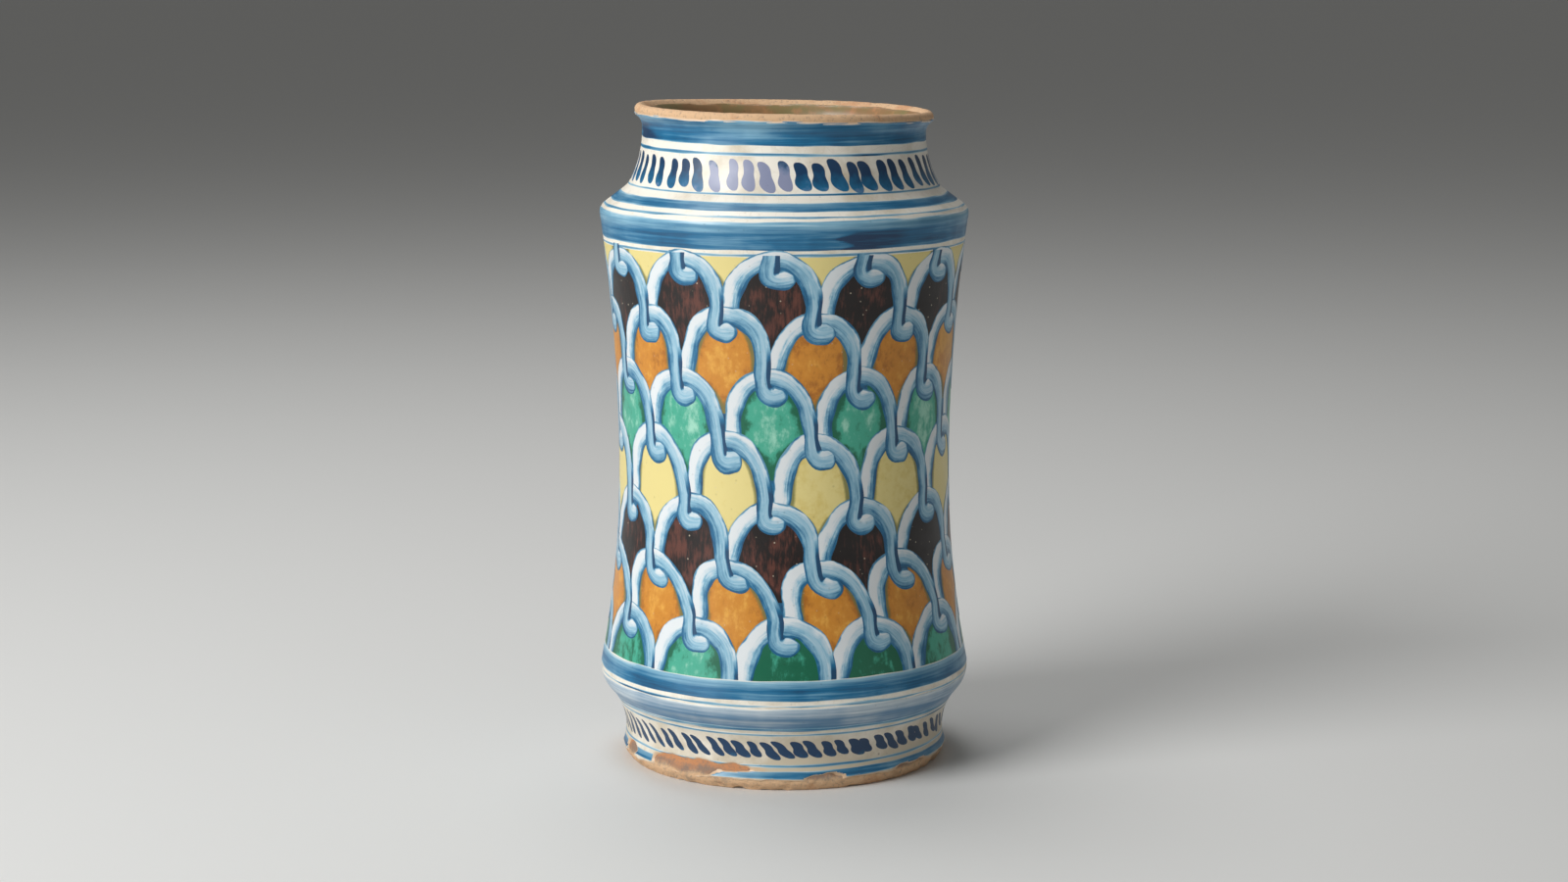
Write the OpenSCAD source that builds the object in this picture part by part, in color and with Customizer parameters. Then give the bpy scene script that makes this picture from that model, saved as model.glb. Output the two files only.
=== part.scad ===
// Albarello: a waisted drug jar in painted tin-glazed earthenware.
// The jar stands on z = 0 about the Z axis, and its front faces -Y.
// Its outside is a chain of arcs that run into each other, and every coat follows the same chain.

/* [Body] */
// Height from the resting face to the top of the lip
overall_h = 300; // [285:1:330]
// Wall thickness at the waist and the belly
wall = 6.5; // [4:0.5:9]
// Thickness of the floor over the hollowed base
floor_t = 7; // [4:0.5:12]
// How far the flat part of the floor inside ends short of the edge of the resting face
floor_flat_in = 22.5; // [19.5:0.5:32]
// Radius of the corner between floor and wall inside
floor_corner_r = 14; // [8:1:16]

/* [Lip and neck] */
// How far the lip stands in from the shoulder's widest part
lip_in = 15.7; // [12:0.1:18]
// Thickness of the rounded lip
lip_t = 4.8; // [3.5:0.1:6]
// How far the neck's narrowest part stands in from the lip
neck_in = 4; // [2:0.1:9]
// Wall thickness of the neck where it is narrowest
neck_wall = 5.5; // [3.5:0.5:7]
// Depth of the narrowest part of the neck below the top of the lip
neck_drop = 10; // [8:0.5:16]
// Depth of the foot of the neck below the top of the lip
ledge_drop = 35.5; // [28:0.5:40]
// Radius of the hollow that the neck makes outside
neck_hollow_r = 50; // [36:1:80]

/* [Shoulder, waist and belly] */
// Widest diameter of the clay at the shoulder
shoulder_d = 167.4; // [160:0.2:176]
// Depth of the widest part of the shoulder below the top of the lip
shoulder_drop = 47; // [44:1:54]
// Radius of the shoulder's outer edge
shoulder_edge_r = 4; // [2:0.5:6]
// Radius of the hollow under the shoulder inside
inner_shoulder_r = 8; // [5:0.5:12]
// Depth of that hollow's centre below the shoulder's widest part
inner_shoulder_drop = 8; // [5:0.5:14]
// How far the waist stands in from the shoulder's widest part
waist_in = 8.1; // [4:0.1:13]
// Height of the waist
waist_z = 138; // [120:1:160]
// How far the belly's widest part stands out from the shoulder's
belly_out = 1.1; // [-1:0.1:5]
// Height of the widest part of the belly
belly_z = 42; // [38:1:48]
// Radius of the belly's edge
belly_edge_r = 12; // [10:0.5:14]

/* [Foot] */
// How far the narrow part above the foot stands in from the foot's edge
foot_waist_in = 1.5; // [1:0.1:4]
// Height of that narrowest part
foot_waist_z = 13; // [11:0.5:16]
// How far the foot's edge stands in from the shoulder's widest part
foot_in = 8.7; // [7.2:0.1:9.5]
// Height of the foot's widest part
foot_edge_z = 4.5; // [3.5:0.5:5]
// Radius of the foot's edge
foot_edge_r = 3.5; // [2.5:0.5:4]
// How far the edge of the resting face stands in from the foot's edge
base_in = 2.5; // [2:0.1:6]
// Width of the ring that the jar rests on
ring_w = 14.5; // [8:0.5:30]
// Depth of the hollow in the base
recess_depth = 2; // [1:0.5:4]

/* [Coats] */
// Thickness of the white glaze outside
glaze_t = 0.6; // [0.3:0.1:1.2]
// Thickness of the lining glaze inside
lining_t = 0.4; // [0.2:0.1:0.8]
// Thickness of the painted colours
paint_t = 0.15; // [0.1:0.05:0.3]
// Clearance between the painted colours and the white glaze under them
paint_gap = 0.02; // [0.01:0.01:0.05]

/* [Bands and strokes] */
// Depth of the top of the neck band below the top of the lip
neck_band_drop = 5; // [4:0.5:8]
// Width of the neck band
neck_band_w = 9.5; // [4:0.5:11]
// Width of the thin blue lines
line_w = 1.1; // [0.6:0.1:1.6]
// Depth of the thin line above the neck strokes below the top of the lip
neck_line_drop = 18; // [16:0.5:19.5]
// Depth of the middle of the neck strokes below the top of the lip
neck_stroke_drop = 26.5; // [25:0.5:28]
// Length of a neck stroke
neck_stroke_h = 14; // [8:0.5:15]
// Width of a neck stroke
neck_stroke_w = 4.4; // [2:0.1:5]
// Number of neck strokes around the jar
neck_strokes_n = 54; // [40:1:60]
// Depth of the thin line below the neck strokes below the top of the lip
neck_foot_line_drop = 34.4; // [34:0.1:34.8]
// Depth of the middle of the ledge band below the top of the lip
ledge_band_drop = 38.8; // [38:0.2:40]
// Width of the ledge band, measured upright
ledge_band_w = 2.4; // [1:0.2:3]
// Depth of the top of the shoulder band below the top of the lip
shoulder_band_drop = 46; // [45:0.5:48]
// Width of the shoulder band
shoulder_band_w = 11; // [6:0.5:11.5]
// Height of the top of the upper belly band
belly_band_z = 51; // [49:0.5:51.5]
// Width of the upper belly band
belly_band_w = 7; // [3:0.5:8]
// Height of the top of the pale band under the belly
pale_band_z = 40; // [38:0.5:41]
// Width of the pale band
pale_band_w = 12; // [6:0.5:13]
// Height of the thin line above the foot strokes
foot_line_z = 25.5; // [25:0.5:27]
// Height of the middle of the foot strokes
foot_stroke_z = 19.5; // [19:0.5:20]
// Length of a foot stroke
foot_stroke_h = 9; // [5:0.5:10]
// Width of a foot stroke
foot_stroke_w = 3; // [2:0.1:4]
// Number of foot strokes around the jar
foot_strokes_n = 72; // [50:1:80]
// Height of the thin line below the foot strokes
foot_top_line_z = 12.5; // [12:0.5:13]
// Height of the top of the foot band
foot_band_z = 9.5; // [8:0.5:10.5]
// Width of the foot band
foot_band_w = 4.5; // [2:0.5:5]
// Lean of the strokes from upright, in degrees
stroke_lean = 20; // [0:1:30]

/* [Scale pattern] */
// Number of scales around the jar
scales_n = 12; // [12:1:13]
// Number of rows of scales
scale_rows = 7; // [6:1:8]
// Depth of the top of the scale pattern below the top of the lip
scale_drop = 59; // [58:0.5:64]
// Height of the bottom of the scale pattern
scale_foot_z = 53; // [52.5:0.5:58]
// Turn of the first row about the axis, in degrees
scale_turn = -3; // [-15:0.5:15]
// Width of the top of an arch as a share of the space that it has
arch_share = 0.827; // [0.7:0.001:0.9]
// Width of a ribbon with its outlines
ribbon_w = 7.4; // [5:0.2:8]
// Width of a dark outline
outline_w = 1.2; // [0.8:0.1:1.6]
// Spread of an arch's legs from upright, in degrees
leg_spread = 17; // [10:0.5:18]
// Depth below the top of the next row at which a leg turns into its hook
hook_drop = 9; // [8:0.5:10]
// Radius of the hook's middle line
hook_r = 4.6; // [3:0.2:5]
// Depth of the top of a coloured field below the top of its arch
field_drop = 14.5; // [12:0.5:18]

/* [Hidden] */
$fn = 96;
// How far a facet of the jar's outline may lie off its arc
arc_sag = 0.06;
// Angle on the foot's edge at which the white glaze ends, and that at which the edge leaves the base
glaze_foot_a = -15;
base_edge_a = -45;
// Number of sides of a brush stroke, and how much its upper half is drawn in
stroke_sides = 10;
stroke_taper = 0.15;
// Number of steps in the curves of an arch, a hook and a hook's tip, and the least radius inside a hook
arch_steps = 7;
hook_steps = 5;
tip_steps = 2;
hook_least_r = 0.4;
// Angle at which a hook ends
hook_end_a = 335;

// Radii and diameters that follow the shoulder's, and the lip's rounding
lip_d = shoulder_d - 2 * lip_in;
lip_r = lip_t / 2;
neck_r = lip_d / 2 - neck_in;
waist_r = shoulder_d / 2 - waist_in;
belly_d = shoulder_d + 2 * belly_out;
foot_d = shoulder_d - 2 * foot_in;
foot_waist_r = foot_d / 2 - foot_waist_in;
base_r = foot_d / 2 - base_in;
recess_r = base_r - ring_w - recess_depth;
floor_flat_r = base_r - floor_flat_in;

// Heights that follow the lip's
neck_z = overall_h - neck_drop;
ledge_z = overall_h - ledge_drop;
shoulder_z = overall_h - shoulder_drop;

// The cutters for painted shapes run from inside the clay to well outside it
reach_in = neck_r - 2 * neck_wall;
reach_out = max(shoulder_d, belly_d) / 2 + wall;

// Heights of the bands near the lip
neck_band_z = overall_h - neck_band_drop;
neck_line_z = overall_h - neck_line_drop;
neck_stroke_z = overall_h - neck_stroke_drop;
neck_foot_line_z = overall_h - neck_foot_line_drop;
ledge_band_z = overall_h - ledge_band_drop;
shoulder_band_z = overall_h - shoulder_band_drop;

// The scale pattern is laid out flat at the waist's size
pattern_r = waist_r + glaze_t;
half_step = PI * pattern_r / scales_n;
arch_r = arch_share * half_step;
scale_top_z = overall_h - scale_drop;
row_pitch = (scale_top_z - scale_foot_z) / scale_rows;
leg_l = 2 * row_pitch;
outline_half = outline_w / 2;

// The right leg of an arch runs down over the next row and ends in a hook
leg_dir = [sin(leg_spread), -cos(leg_spread)];
leg_side = [cos(leg_spread), sin(leg_spread)];
leg_top = [0, -arch_r] + (arch_r - ribbon_w / 2) * leg_side;
leg_end = leg_top + leg_dir * (leg_top.y + row_pitch + hook_drop) / cos(leg_spread);
hook_c = leg_end + hook_r * leg_side;
// Length of that leg which passes over the ribbons of the next row
over_l = hook_drop + 1.5 * ribbon_w;

// Points of an arc about c, without its first point.
function arc(c, r, a0, a1) =
    let (n = max(2, ceil(abs(a1 - a0) / (2 * acos(1 - arc_sag / r)))))
    [for (i = [1:n]) let (a = a0 + (a1 - a0) * i / n) c + r * [cos(a), sin(a)]];

// Direction from one centre to another.
function bearing(from, to) = atan2(to.y - from.y, to.x - from.x);

// Radius of the hollow that is upright at the waist and runs into an edge of radius edge_r, whose centre
// lies gap nearer the axis than the waist does and rise away from it along the axis.
function hollow_r(gap, rise, edge_r) = (gap ^ 2 + rise ^ 2 - edge_r ^ 2) / (2 * (edge_r - gap));

// Centre of such a hollow.
function hollow_c(r, z, edge_c, edge_r) = [r + hollow_r(r - edge_c.x, abs(edge_c.y - z), edge_r), z];

function reversed(list) = [for (i = [len(list) - 1:-1:0]) list[i]];

// Centres of the rounded edges outside
foot_c = [foot_d / 2 - foot_edge_r, foot_edge_z];
belly_c = [belly_d / 2 - belly_edge_r, belly_z];
shoulder_c = [shoulder_d / 2 - shoulder_edge_r, shoulder_z];
lip_c = [lip_d / 2 - lip_r, overall_h - lip_r];

// Centres of the hollows outside
foot_low_c = hollow_c(foot_waist_r, foot_waist_z, foot_c, foot_edge_r);
foot_high_c = hollow_c(foot_waist_r, foot_waist_z, belly_c, belly_edge_r);
wall_low_c = hollow_c(waist_r, waist_z, belly_c, belly_edge_r);
wall_high_c = hollow_c(waist_r, waist_z, shoulder_c, shoulder_edge_r);
neck_c = [neck_r + neck_hollow_r, neck_z];
flare_c = hollow_c(neck_r, neck_z, lip_c, lip_r);

// The ledge runs straight from the foot of the neck to the shoulder's edge
neck_foot_a = asin((neck_z - ledge_z) / neck_hollow_r);
neck_foot = neck_c - neck_hollow_r * [cos(neck_foot_a), sin(neck_foot_a)];
ledge_a = bearing(neck_foot, shoulder_c) + acos(-shoulder_edge_r / norm(shoulder_c - neck_foot));
crease_a = (ledge_a + neck_foot_a) / 2;
crease_half = (ledge_a - neck_foot_a) / 2;

// The outside of the jar from the foot to the lip, grown by g all over
function outside(g, start_a) = concat(
    [foot_c + (foot_edge_r + g) * [cos(start_a), sin(start_a)]],
    arc(foot_c, foot_edge_r + g, start_a, bearing(foot_c, foot_low_c)),
    arc(foot_low_c, foot_low_c.x - foot_waist_r - g, 180 + bearing(foot_c, foot_low_c), 180),
    arc(foot_high_c, foot_high_c.x - foot_waist_r - g, 180, 180 + bearing(belly_c, foot_high_c)),
    arc(belly_c, belly_edge_r + g, bearing(belly_c, foot_high_c), bearing(belly_c, wall_low_c)),
    arc(wall_low_c, wall_low_c.x - waist_r - g, 180 + bearing(belly_c, wall_low_c), 180),
    arc(wall_high_c, wall_high_c.x - waist_r - g, 180, 180 + bearing(shoulder_c, wall_high_c)),
    arc(shoulder_c, shoulder_edge_r + g, bearing(shoulder_c, wall_high_c), ledge_a),
    [neck_foot + g / cos(crease_half) * [cos(crease_a), sin(crease_a)]],
    arc(neck_c, neck_hollow_r - g, 180 + neck_foot_a, 180),
    arc(flare_c, flare_c.x - neck_r - g, 180, 180 + bearing(lip_c, flare_c)));

// Centres of the curves inside
inner_neck_r = neck_r - neck_wall;
inner_waist_r = waist_r - wall;
floor_z = recess_depth + floor_t;
inner_belly_r = belly_edge_r - wall;
throat_gap = lip_c.x - inner_neck_r;
throat_r = (throat_gap ^ 2 + (lip_c.y - neck_z) ^ 2 - lip_r ^ 2) / (2 * (throat_gap - lip_r));
throat_c = [inner_neck_r + throat_r, neck_z];
inner_shoulder_c = [shoulder_d / 2 - wall - inner_shoulder_r, shoulder_z - inner_shoulder_drop];
inner_neck_c = hollow_c(inner_neck_r, neck_z, inner_shoulder_c, inner_shoulder_r);
inner_wall_c = hollow_c(inner_waist_r, waist_z, inner_shoulder_c, inner_shoulder_r);
corner_c = [floor_flat_r, floor_z + floor_corner_r];
taper_a = bearing(corner_c, belly_c)
    - acos((floor_corner_r - inner_belly_r) / norm(belly_c - corner_c));

// The inside of the jar from the lip to the floor, drawn in by t all over
function inside(t) = concat(
    [throat_c + (throat_r + t) * [cos(bearing(throat_c, lip_c)), sin(bearing(throat_c, lip_c))]],
    arc(throat_c, throat_r + t, bearing(throat_c, lip_c), 180),
    arc(inner_neck_c, inner_neck_c.x - inner_neck_r + t, 180, 180 + bearing(inner_shoulder_c, inner_neck_c)),
    arc(inner_shoulder_c, inner_shoulder_r - t, bearing(inner_shoulder_c, inner_neck_c),
        bearing(inner_shoulder_c, inner_wall_c)),
    arc(inner_wall_c, inner_wall_c.x - inner_waist_r + t, 180 + bearing(inner_shoulder_c, inner_wall_c), 180),
    arc(wall_low_c, wall_low_c.x - inner_waist_r + t, 180, 180 + bearing(belly_c, wall_low_c)),
    arc(belly_c, inner_belly_r - t, bearing(belly_c, wall_low_c), taper_a),
    [corner_c + (floor_corner_r - t) * [cos(taper_a), sin(taper_a)]],
    arc(corner_c, floor_corner_r - t, taper_a, -90));

// Section of a coat between two growths of the outside
module coat_2d(g0, g1) {
    polygon(concat(outside(g1, glaze_foot_a), reversed(outside(g0, glaze_foot_a))));
}

// Section of the painted colours between two heights
module paint_2d(z0, z1) {
    intersection() {
        coat_2d(glaze_t + paint_gap, glaze_t + paint_gap + paint_t);
        translate([reach_in, z0]) square([reach_out - reach_in, z1 - z0]);
    }
}

// Painted ring between two heights
module band(z0, z1) {
    rotate_extrude() paint_2d(z0, z1);
}

// Painted line about a height
module line(z) {
    band(z - line_w / 2, z + line_w / 2);
}

// Drives an upright outline through the wall at an angle around the jar and a height
module through_wall(a, z) {
    rotate([0, 0, a]) translate([0, 0, z]) rotate([90, 0, 0])
        translate([0, 0, reach_in]) linear_extrude(reach_out - reach_in) children();
}

// Outline of one brush stroke, fuller at its lower end
module stroke_2d(w, h) {
    rotate(stroke_lean)
        polygon([for (i = [0:stroke_sides - 1]) let (a = 360 * i / stroke_sides)
            [w / 2 * cos(a) * (1 - stroke_taper * (1 + sin(a))), h / 2 * sin(a)]]);
}

// Ring of brush strokes about a height
module stroke_row(z, w, h, n) {
    intersection() {
        band(z - h, z + h);
        union() for (i = [0:n - 1]) through_wall(360 * i / n, z) stroke_2d(w, h);
    }
}

// Radius of the glazed wall between belly and shoulder
function wall_radius(z) =
    let (c = z < waist_z ? wall_low_c : wall_high_c)
    c.x - sqrt((c.x - waist_r - glaze_t) ^ 2 - (z - c.y) ^ 2);

// Wraps points of the flat pattern round the wall, as seen along the cutter of a scale whose top is at z
function wrapped(points, z) =
    [for (p = points) [wall_radius(z + p.y) * sin(p.x / pattern_r * 180 / PI), p.y]];

// Outline of an arch of radius r and all that lies under it, with its top about at `at`
function arch(r, at = [0, 0]) =
    let (c = at - [0, arch_r], foot = r * leg_side + leg_l * leg_dir)
    concat([c + [-foot.x, foot.y]],
           [for (i = [0:arch_steps]) let (a = 180 - leg_spread - (180 - 2 * leg_spread) * i / arch_steps)
               c + r * [cos(a), sin(a)]],
           [c + foot]);

// Outline of the right leg and its hook where they pass over the next row, grown by g
function hook(g, at = [0, 0]) =
    let (w = (ribbon_w - outline_w) / 2 + g, c = at + hook_c, inner_r = max(hook_r - w, hook_least_r),
         top = at + leg_end - over_l * leg_dir, start_a = 180 + leg_spread, turn = hook_end_a - start_a,
         tip = c + hook_r * [cos(hook_end_a), sin(hook_end_a)])
    concat([top + w * leg_side, top - w * leg_side],
           [for (i = [0:hook_steps]) let (a = start_a + turn * i / hook_steps)
               c + (hook_r + w) * [cos(a), sin(a)]],
           [for (i = [1:tip_steps]) let (a = hook_end_a + 180 * i / (tip_steps + 1))
               tip + w * [cos(a), sin(a)]],
           [for (i = [hook_steps - 1:-2:0]) let (a = start_a + turn * i / hook_steps)
               c + inner_r * [cos(a), sin(a)]]);

// Outline of one ribbon of the scale pattern, whose arch has its top at height z
module ribbon_2d(z) {
    difference() {
        union() {
            intersection() {
                difference() {
                    polygon(wrapped(arch(arch_r - outline_half), z));
                    polygon(wrapped(arch(arch_r - ribbon_w + outline_half), z));
                }
                translate([-reach_out, leg_end.y]) square([2 * reach_out, arch_r - leg_end.y]);
            }
            polygon(wrapped(hook(0), z));
        }
        polygon(wrapped(arch(arch_r + outline_half, [-half_step, -row_pitch]), z));
        polygon(wrapped(hook(outline_w, [-half_step, row_pitch]), z));
        polygon(wrapped(hook(outline_w, [-2 * half_step, 0]), z));
    }
}

// Outline of one coloured field of the scale pattern, under an arch whose top is at height z
module field_2d(z) {
    difference() {
        polygon(wrapped(arch(arch_r - ribbon_w - outline_half), z));
        translate([-reach_out, -field_drop]) square([2 * reach_out, 2 * reach_out]);
        for (side = [-1, 1])
            polygon(wrapped(arch(arch_r + outline_half, [side * half_step, -row_pitch]), z));
        polygon(wrapped(hook(outline_w, [-half_step, row_pitch]), z));
    }
}

// Height of the top of a row of arches
function row_z(row) = scale_top_z - (row - 1) * row_pitch;

// One painted shape on every scale of a row
module on_row(row) {
    z = row_z(row);
    for (i = [0:scales_n - 1]) intersection() {
        band(max(scale_foot_z, z - leg_l - ribbon_w), min(scale_top_z, z));
        through_wall(scale_turn + (i + (row % 2 == 0 ? 0.5 : 0)) * 360 / scales_n, z) children();
    }
}

module clay_body() {
    color("peru") rotate_extrude() polygon(concat(
        [[0, recess_depth], [recess_r, recess_depth], [recess_r + recess_depth, 0], [base_r, 0]],
        outside(0, base_edge_a),
        arc(lip_c, lip_r, bearing(lip_c, flare_c), bearing(throat_c, lip_c)),
        [for (i = [1:len(inside(0)) - 1]) inside(0)[i]],
        [[0, floor_z]]));
}

module inner_glaze() {
    color("tan") rotate_extrude()
        polygon(concat(inside(0), [[0, floor_z], [0, floor_z + lining_t]], reversed(inside(lining_t))));
}

module outer_glaze() {
    color("ivory") rotate_extrude() coat_2d(0, glaze_t);
}

module neck_bands() {
    color("steelblue") {
        band(neck_band_z - neck_band_w, neck_band_z);
        line(neck_line_z);
        line(neck_foot_line_z);
    }
}

module neck_strokes() {
    color("midnightblue") stroke_row(neck_stroke_z, neck_stroke_w, neck_stroke_h, neck_strokes_n);
}

module shoulder_bands() {
    color("steelblue") {
        band(ledge_band_z - ledge_band_w / 2, ledge_band_z + ledge_band_w / 2);
        band(shoulder_band_z - shoulder_band_w, shoulder_band_z);
    }
}

module scale_ribbons() {
    color("lightsteelblue") {
        on_row(0) polygon(wrapped(hook(0), row_z(0)));
        for (row = [1:scale_rows]) on_row(row) ribbon_2d(row_z(row));
    }
}

module brown_fields() {
    color("#2f1a16") for (row = [1:4:scale_rows]) on_row(row) field_2d(row_z(row));
}

module orange_fields() {
    color("darkorange") for (row = [2:4:scale_rows]) on_row(row) field_2d(row_z(row));
}

module green_fields() {
    color("mediumseagreen") for (row = [3:4:scale_rows]) on_row(row) field_2d(row_z(row));
}

module yellow_fields() {
    color("khaki") for (row = [0:4:scale_rows]) on_row(row) field_2d(row_z(row));
}

module lower_bands() {
    color("steelblue") {
        band(belly_band_z - belly_band_w, belly_band_z);
        band(pale_band_z - pale_band_w, pale_band_z);
        line(foot_line_z);
        line(foot_top_line_z);
    }
}

module foot_strokes() {
    color("midnightblue") stroke_row(foot_stroke_z, foot_stroke_w, foot_stroke_h, foot_strokes_n);
}

module foot_band() {
    color("steelblue") band(foot_band_z - foot_band_w, foot_band_z);
}

clay_body();
inner_glaze();
outer_glaze();
neck_bands();
neck_strokes();
shoulder_bands();
scale_ribbons();
brown_fields();
orange_fields();
green_fields();
yellow_fields();
lower_bands();
foot_strokes();
foot_band();
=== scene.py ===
import math
from functools import partial

import bmesh
import bpy
import numpy as np
from bpy.props import FloatProperty, FloatVectorProperty, IntProperty, PointerProperty
from bpy.types import NodeSocket, Operator, Panel, PropertyGroup
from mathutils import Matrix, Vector


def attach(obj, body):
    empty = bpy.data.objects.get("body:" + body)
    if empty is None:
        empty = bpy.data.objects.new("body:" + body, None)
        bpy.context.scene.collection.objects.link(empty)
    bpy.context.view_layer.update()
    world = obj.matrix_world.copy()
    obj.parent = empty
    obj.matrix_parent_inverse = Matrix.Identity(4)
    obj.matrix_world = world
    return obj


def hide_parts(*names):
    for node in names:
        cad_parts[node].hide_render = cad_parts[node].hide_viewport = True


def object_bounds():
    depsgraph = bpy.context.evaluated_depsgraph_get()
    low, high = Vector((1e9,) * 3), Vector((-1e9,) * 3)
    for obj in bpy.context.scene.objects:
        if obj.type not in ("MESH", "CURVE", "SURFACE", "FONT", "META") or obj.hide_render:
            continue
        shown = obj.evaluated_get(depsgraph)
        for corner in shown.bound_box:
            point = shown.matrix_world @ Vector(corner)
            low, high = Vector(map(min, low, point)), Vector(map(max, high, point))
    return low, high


bl_info = {
    "name": "Albarello",
    "version": (1, 0, 0),
    "blender": (4, 5, 0),
    "location": "View3D > Sidebar > Albarello",
    "description": "Throws, glazes and paints a waisted drug jar of tin-glazed earthenware over its solids",
    "category": "Add Mesh",
}

# The solids come in first, so their box is known before anything is drawn over them
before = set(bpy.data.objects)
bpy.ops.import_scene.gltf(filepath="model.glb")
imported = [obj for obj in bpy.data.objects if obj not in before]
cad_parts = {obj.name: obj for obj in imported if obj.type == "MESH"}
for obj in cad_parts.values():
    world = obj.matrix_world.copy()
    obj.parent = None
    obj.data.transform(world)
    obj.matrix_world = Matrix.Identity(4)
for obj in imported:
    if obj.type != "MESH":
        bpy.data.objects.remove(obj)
CAD_LOW, CAD_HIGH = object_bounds()

MM = 0.001
TURN = 2 * math.pi
# Depth to which the rim and the underside of a painted coat sink into the glaze
SINK = 0.05 * MM
# Depth in the clay, below the deepest chip, of glaze that is gone
LOST = 1.6 * MM
# Depth in the clay of the glaze's own back
BURIED = 2.5 * MM
# How much the glaze rises for each length inside its edge
EDGE_SLOPE = 1.3
# Depth in the glaze of paint that is worn off, and the distance from the glaze's edge within which it is
WORN, WORN_EDGE = 0.5 * MM, 0.2 * MM
# Distance between points on the section's arcs, and the wall's middle radius
ARC_STEP, WALL_R = 0.25 * MM, 78 * MM
# Points closer than this are joined, and edges sharper than this stay sharp
JOINED, SHARP = 0.0005 * MM, math.radians(50)
# Share of a brush mark's half width that its rim takes, and the square of the least share at its tip
RIM, TIP = 0.015, 0.0004
# First seeds for the places of a row's arches, the press of its ribbons and the tones of its fields
ARCH_SEED, PRESS_SEED, TONE_SEED = 100, 300, 500
# Rises of the painted coats over the glaze, from the lowest to the band that is laid over the scales
GROUND_RISE = 0.03 * MM
BAND_RISE = 0.05 * MM
FIELD_RISE = 0.06 * MM
EYE_RISE = 0.08 * MM
RIBBON_LOW, RIBBON_HIGH = 0.10 * MM, 0.20 * MM
OVER_RISE = 0.22 * MM


def linear(hex_code):
    """Linear red, green and blue of an sRGB hex value."""
    srgb = np.array([int(hex_code[i:i + 2], 16) for i in (1, 3, 5)]) / 255
    return tuple(np.where(srgb <= 0.04045, srgb / 12.92, ((srgb + 0.055) / 1.055) ** 2.4))


def length(name, mm, description):
    """A length in the sidebar, written here in millimetres."""
    return FloatProperty(name=name, description=description, default=mm * MM, precision=4,
                         subtype="DISTANCE", unit="LENGTH")


def tint(name, hex_code, description):
    """A colour in the sidebar, written here as sRGB hex."""
    return FloatVectorProperty(name=name, description=description, default=linear(hex_code), size=3,
                               min=0.0, max=1.0, subtype="COLOR")


class JarSizes(PropertyGroup):
    """Sizes of the thrown clay and its coats."""
    height: FloatProperty(name="Height", description="Height from the resting face to the top of the lip",
                          default=CAD_HIGH.z - CAD_LOW.z, subtype="DISTANCE", unit="LENGTH")
    shoulder_r: length("Shoulder", 83.7, "Radius of the clay at the shoulder")
    shoulder_drop: length("Shoulder depth", 47, "Depth of the shoulder's widest part below the lip")
    shoulder_edge: length("Shoulder edge", 4, "Radius of the shoulder's rounded edge")
    waist_in: length("Waist", 8.1, "How far the waist stands in from the shoulder")
    waist_z: length("Waist height", 138, "Height of the waist")
    belly_out: length("Belly", 1.1, "How far the belly stands out from the shoulder")
    belly_z: length("Belly height", 42, "Height of the belly's widest part")
    belly_edge: length("Belly edge", 12, "Radius of the belly's rounded edge")
    foot_in: length("Foot", 8.7, "How far the foot's edge stands in from the shoulder")
    foot_z: length("Foot height", 4.5, "Height of the foot's widest part")
    foot_edge: length("Foot edge", 3.5, "Radius of the foot's rounded edge")
    foot_waist_in: length("Foot hollow", 1.5, "How far the narrow part above the foot stands in from it")
    foot_waist_z: length("Foot hollow height", 13, "Height of the narrow part above the foot")
    base_in: length("Base", 2.5, "How far the resting face stands in from the foot's edge")
    ring_w: length("Resting ring", 14.5, "Width of the ring that the jar rests on")
    recess: length("Base hollow", 2, "Depth of the hollow in the base")
    lip_in: length("Lip", 15.7, "How far the lip stands in from the shoulder")
    lip_t: length("Lip thickness", 4.8, "Thickness of the rounded lip")
    neck_in: length("Neck", 4, "How far the neck stands in from the lip")
    neck_drop: length("Neck depth", 10, "Depth of the neck's narrowest part below the lip")
    neck_hollow: length("Neck hollow", 50, "Radius of the hollow that the neck makes")
    ledge_drop: length("Ledge depth", 35.5, "Depth of the foot of the neck below the lip")
    wall: length("Wall", 6.5, "Wall thickness at the waist")
    neck_wall: length("Neck wall", 5.5, "Wall thickness of the neck")
    inner_shoulder: length("Inner shoulder", 8, "Radius of the hollow under the shoulder inside")
    inner_shoulder_drop: length("Inner shoulder depth", 8,
                                "Depth of that hollow's centre below the shoulder")
    floor_t: length("Floor", 7, "Thickness of the floor")
    floor_flat_in: length("Floor flat", 22.5,
                          "How far the flat floor ends short of the resting face's edge")
    floor_corner: length("Floor corner", 14, "Radius of the corner between floor and wall")
    glaze_t: length("White glaze", 0.6, "Thickness of the white glaze outside")
    lining_t: length("Lining", 0.4, "Thickness of the glaze inside")


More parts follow.
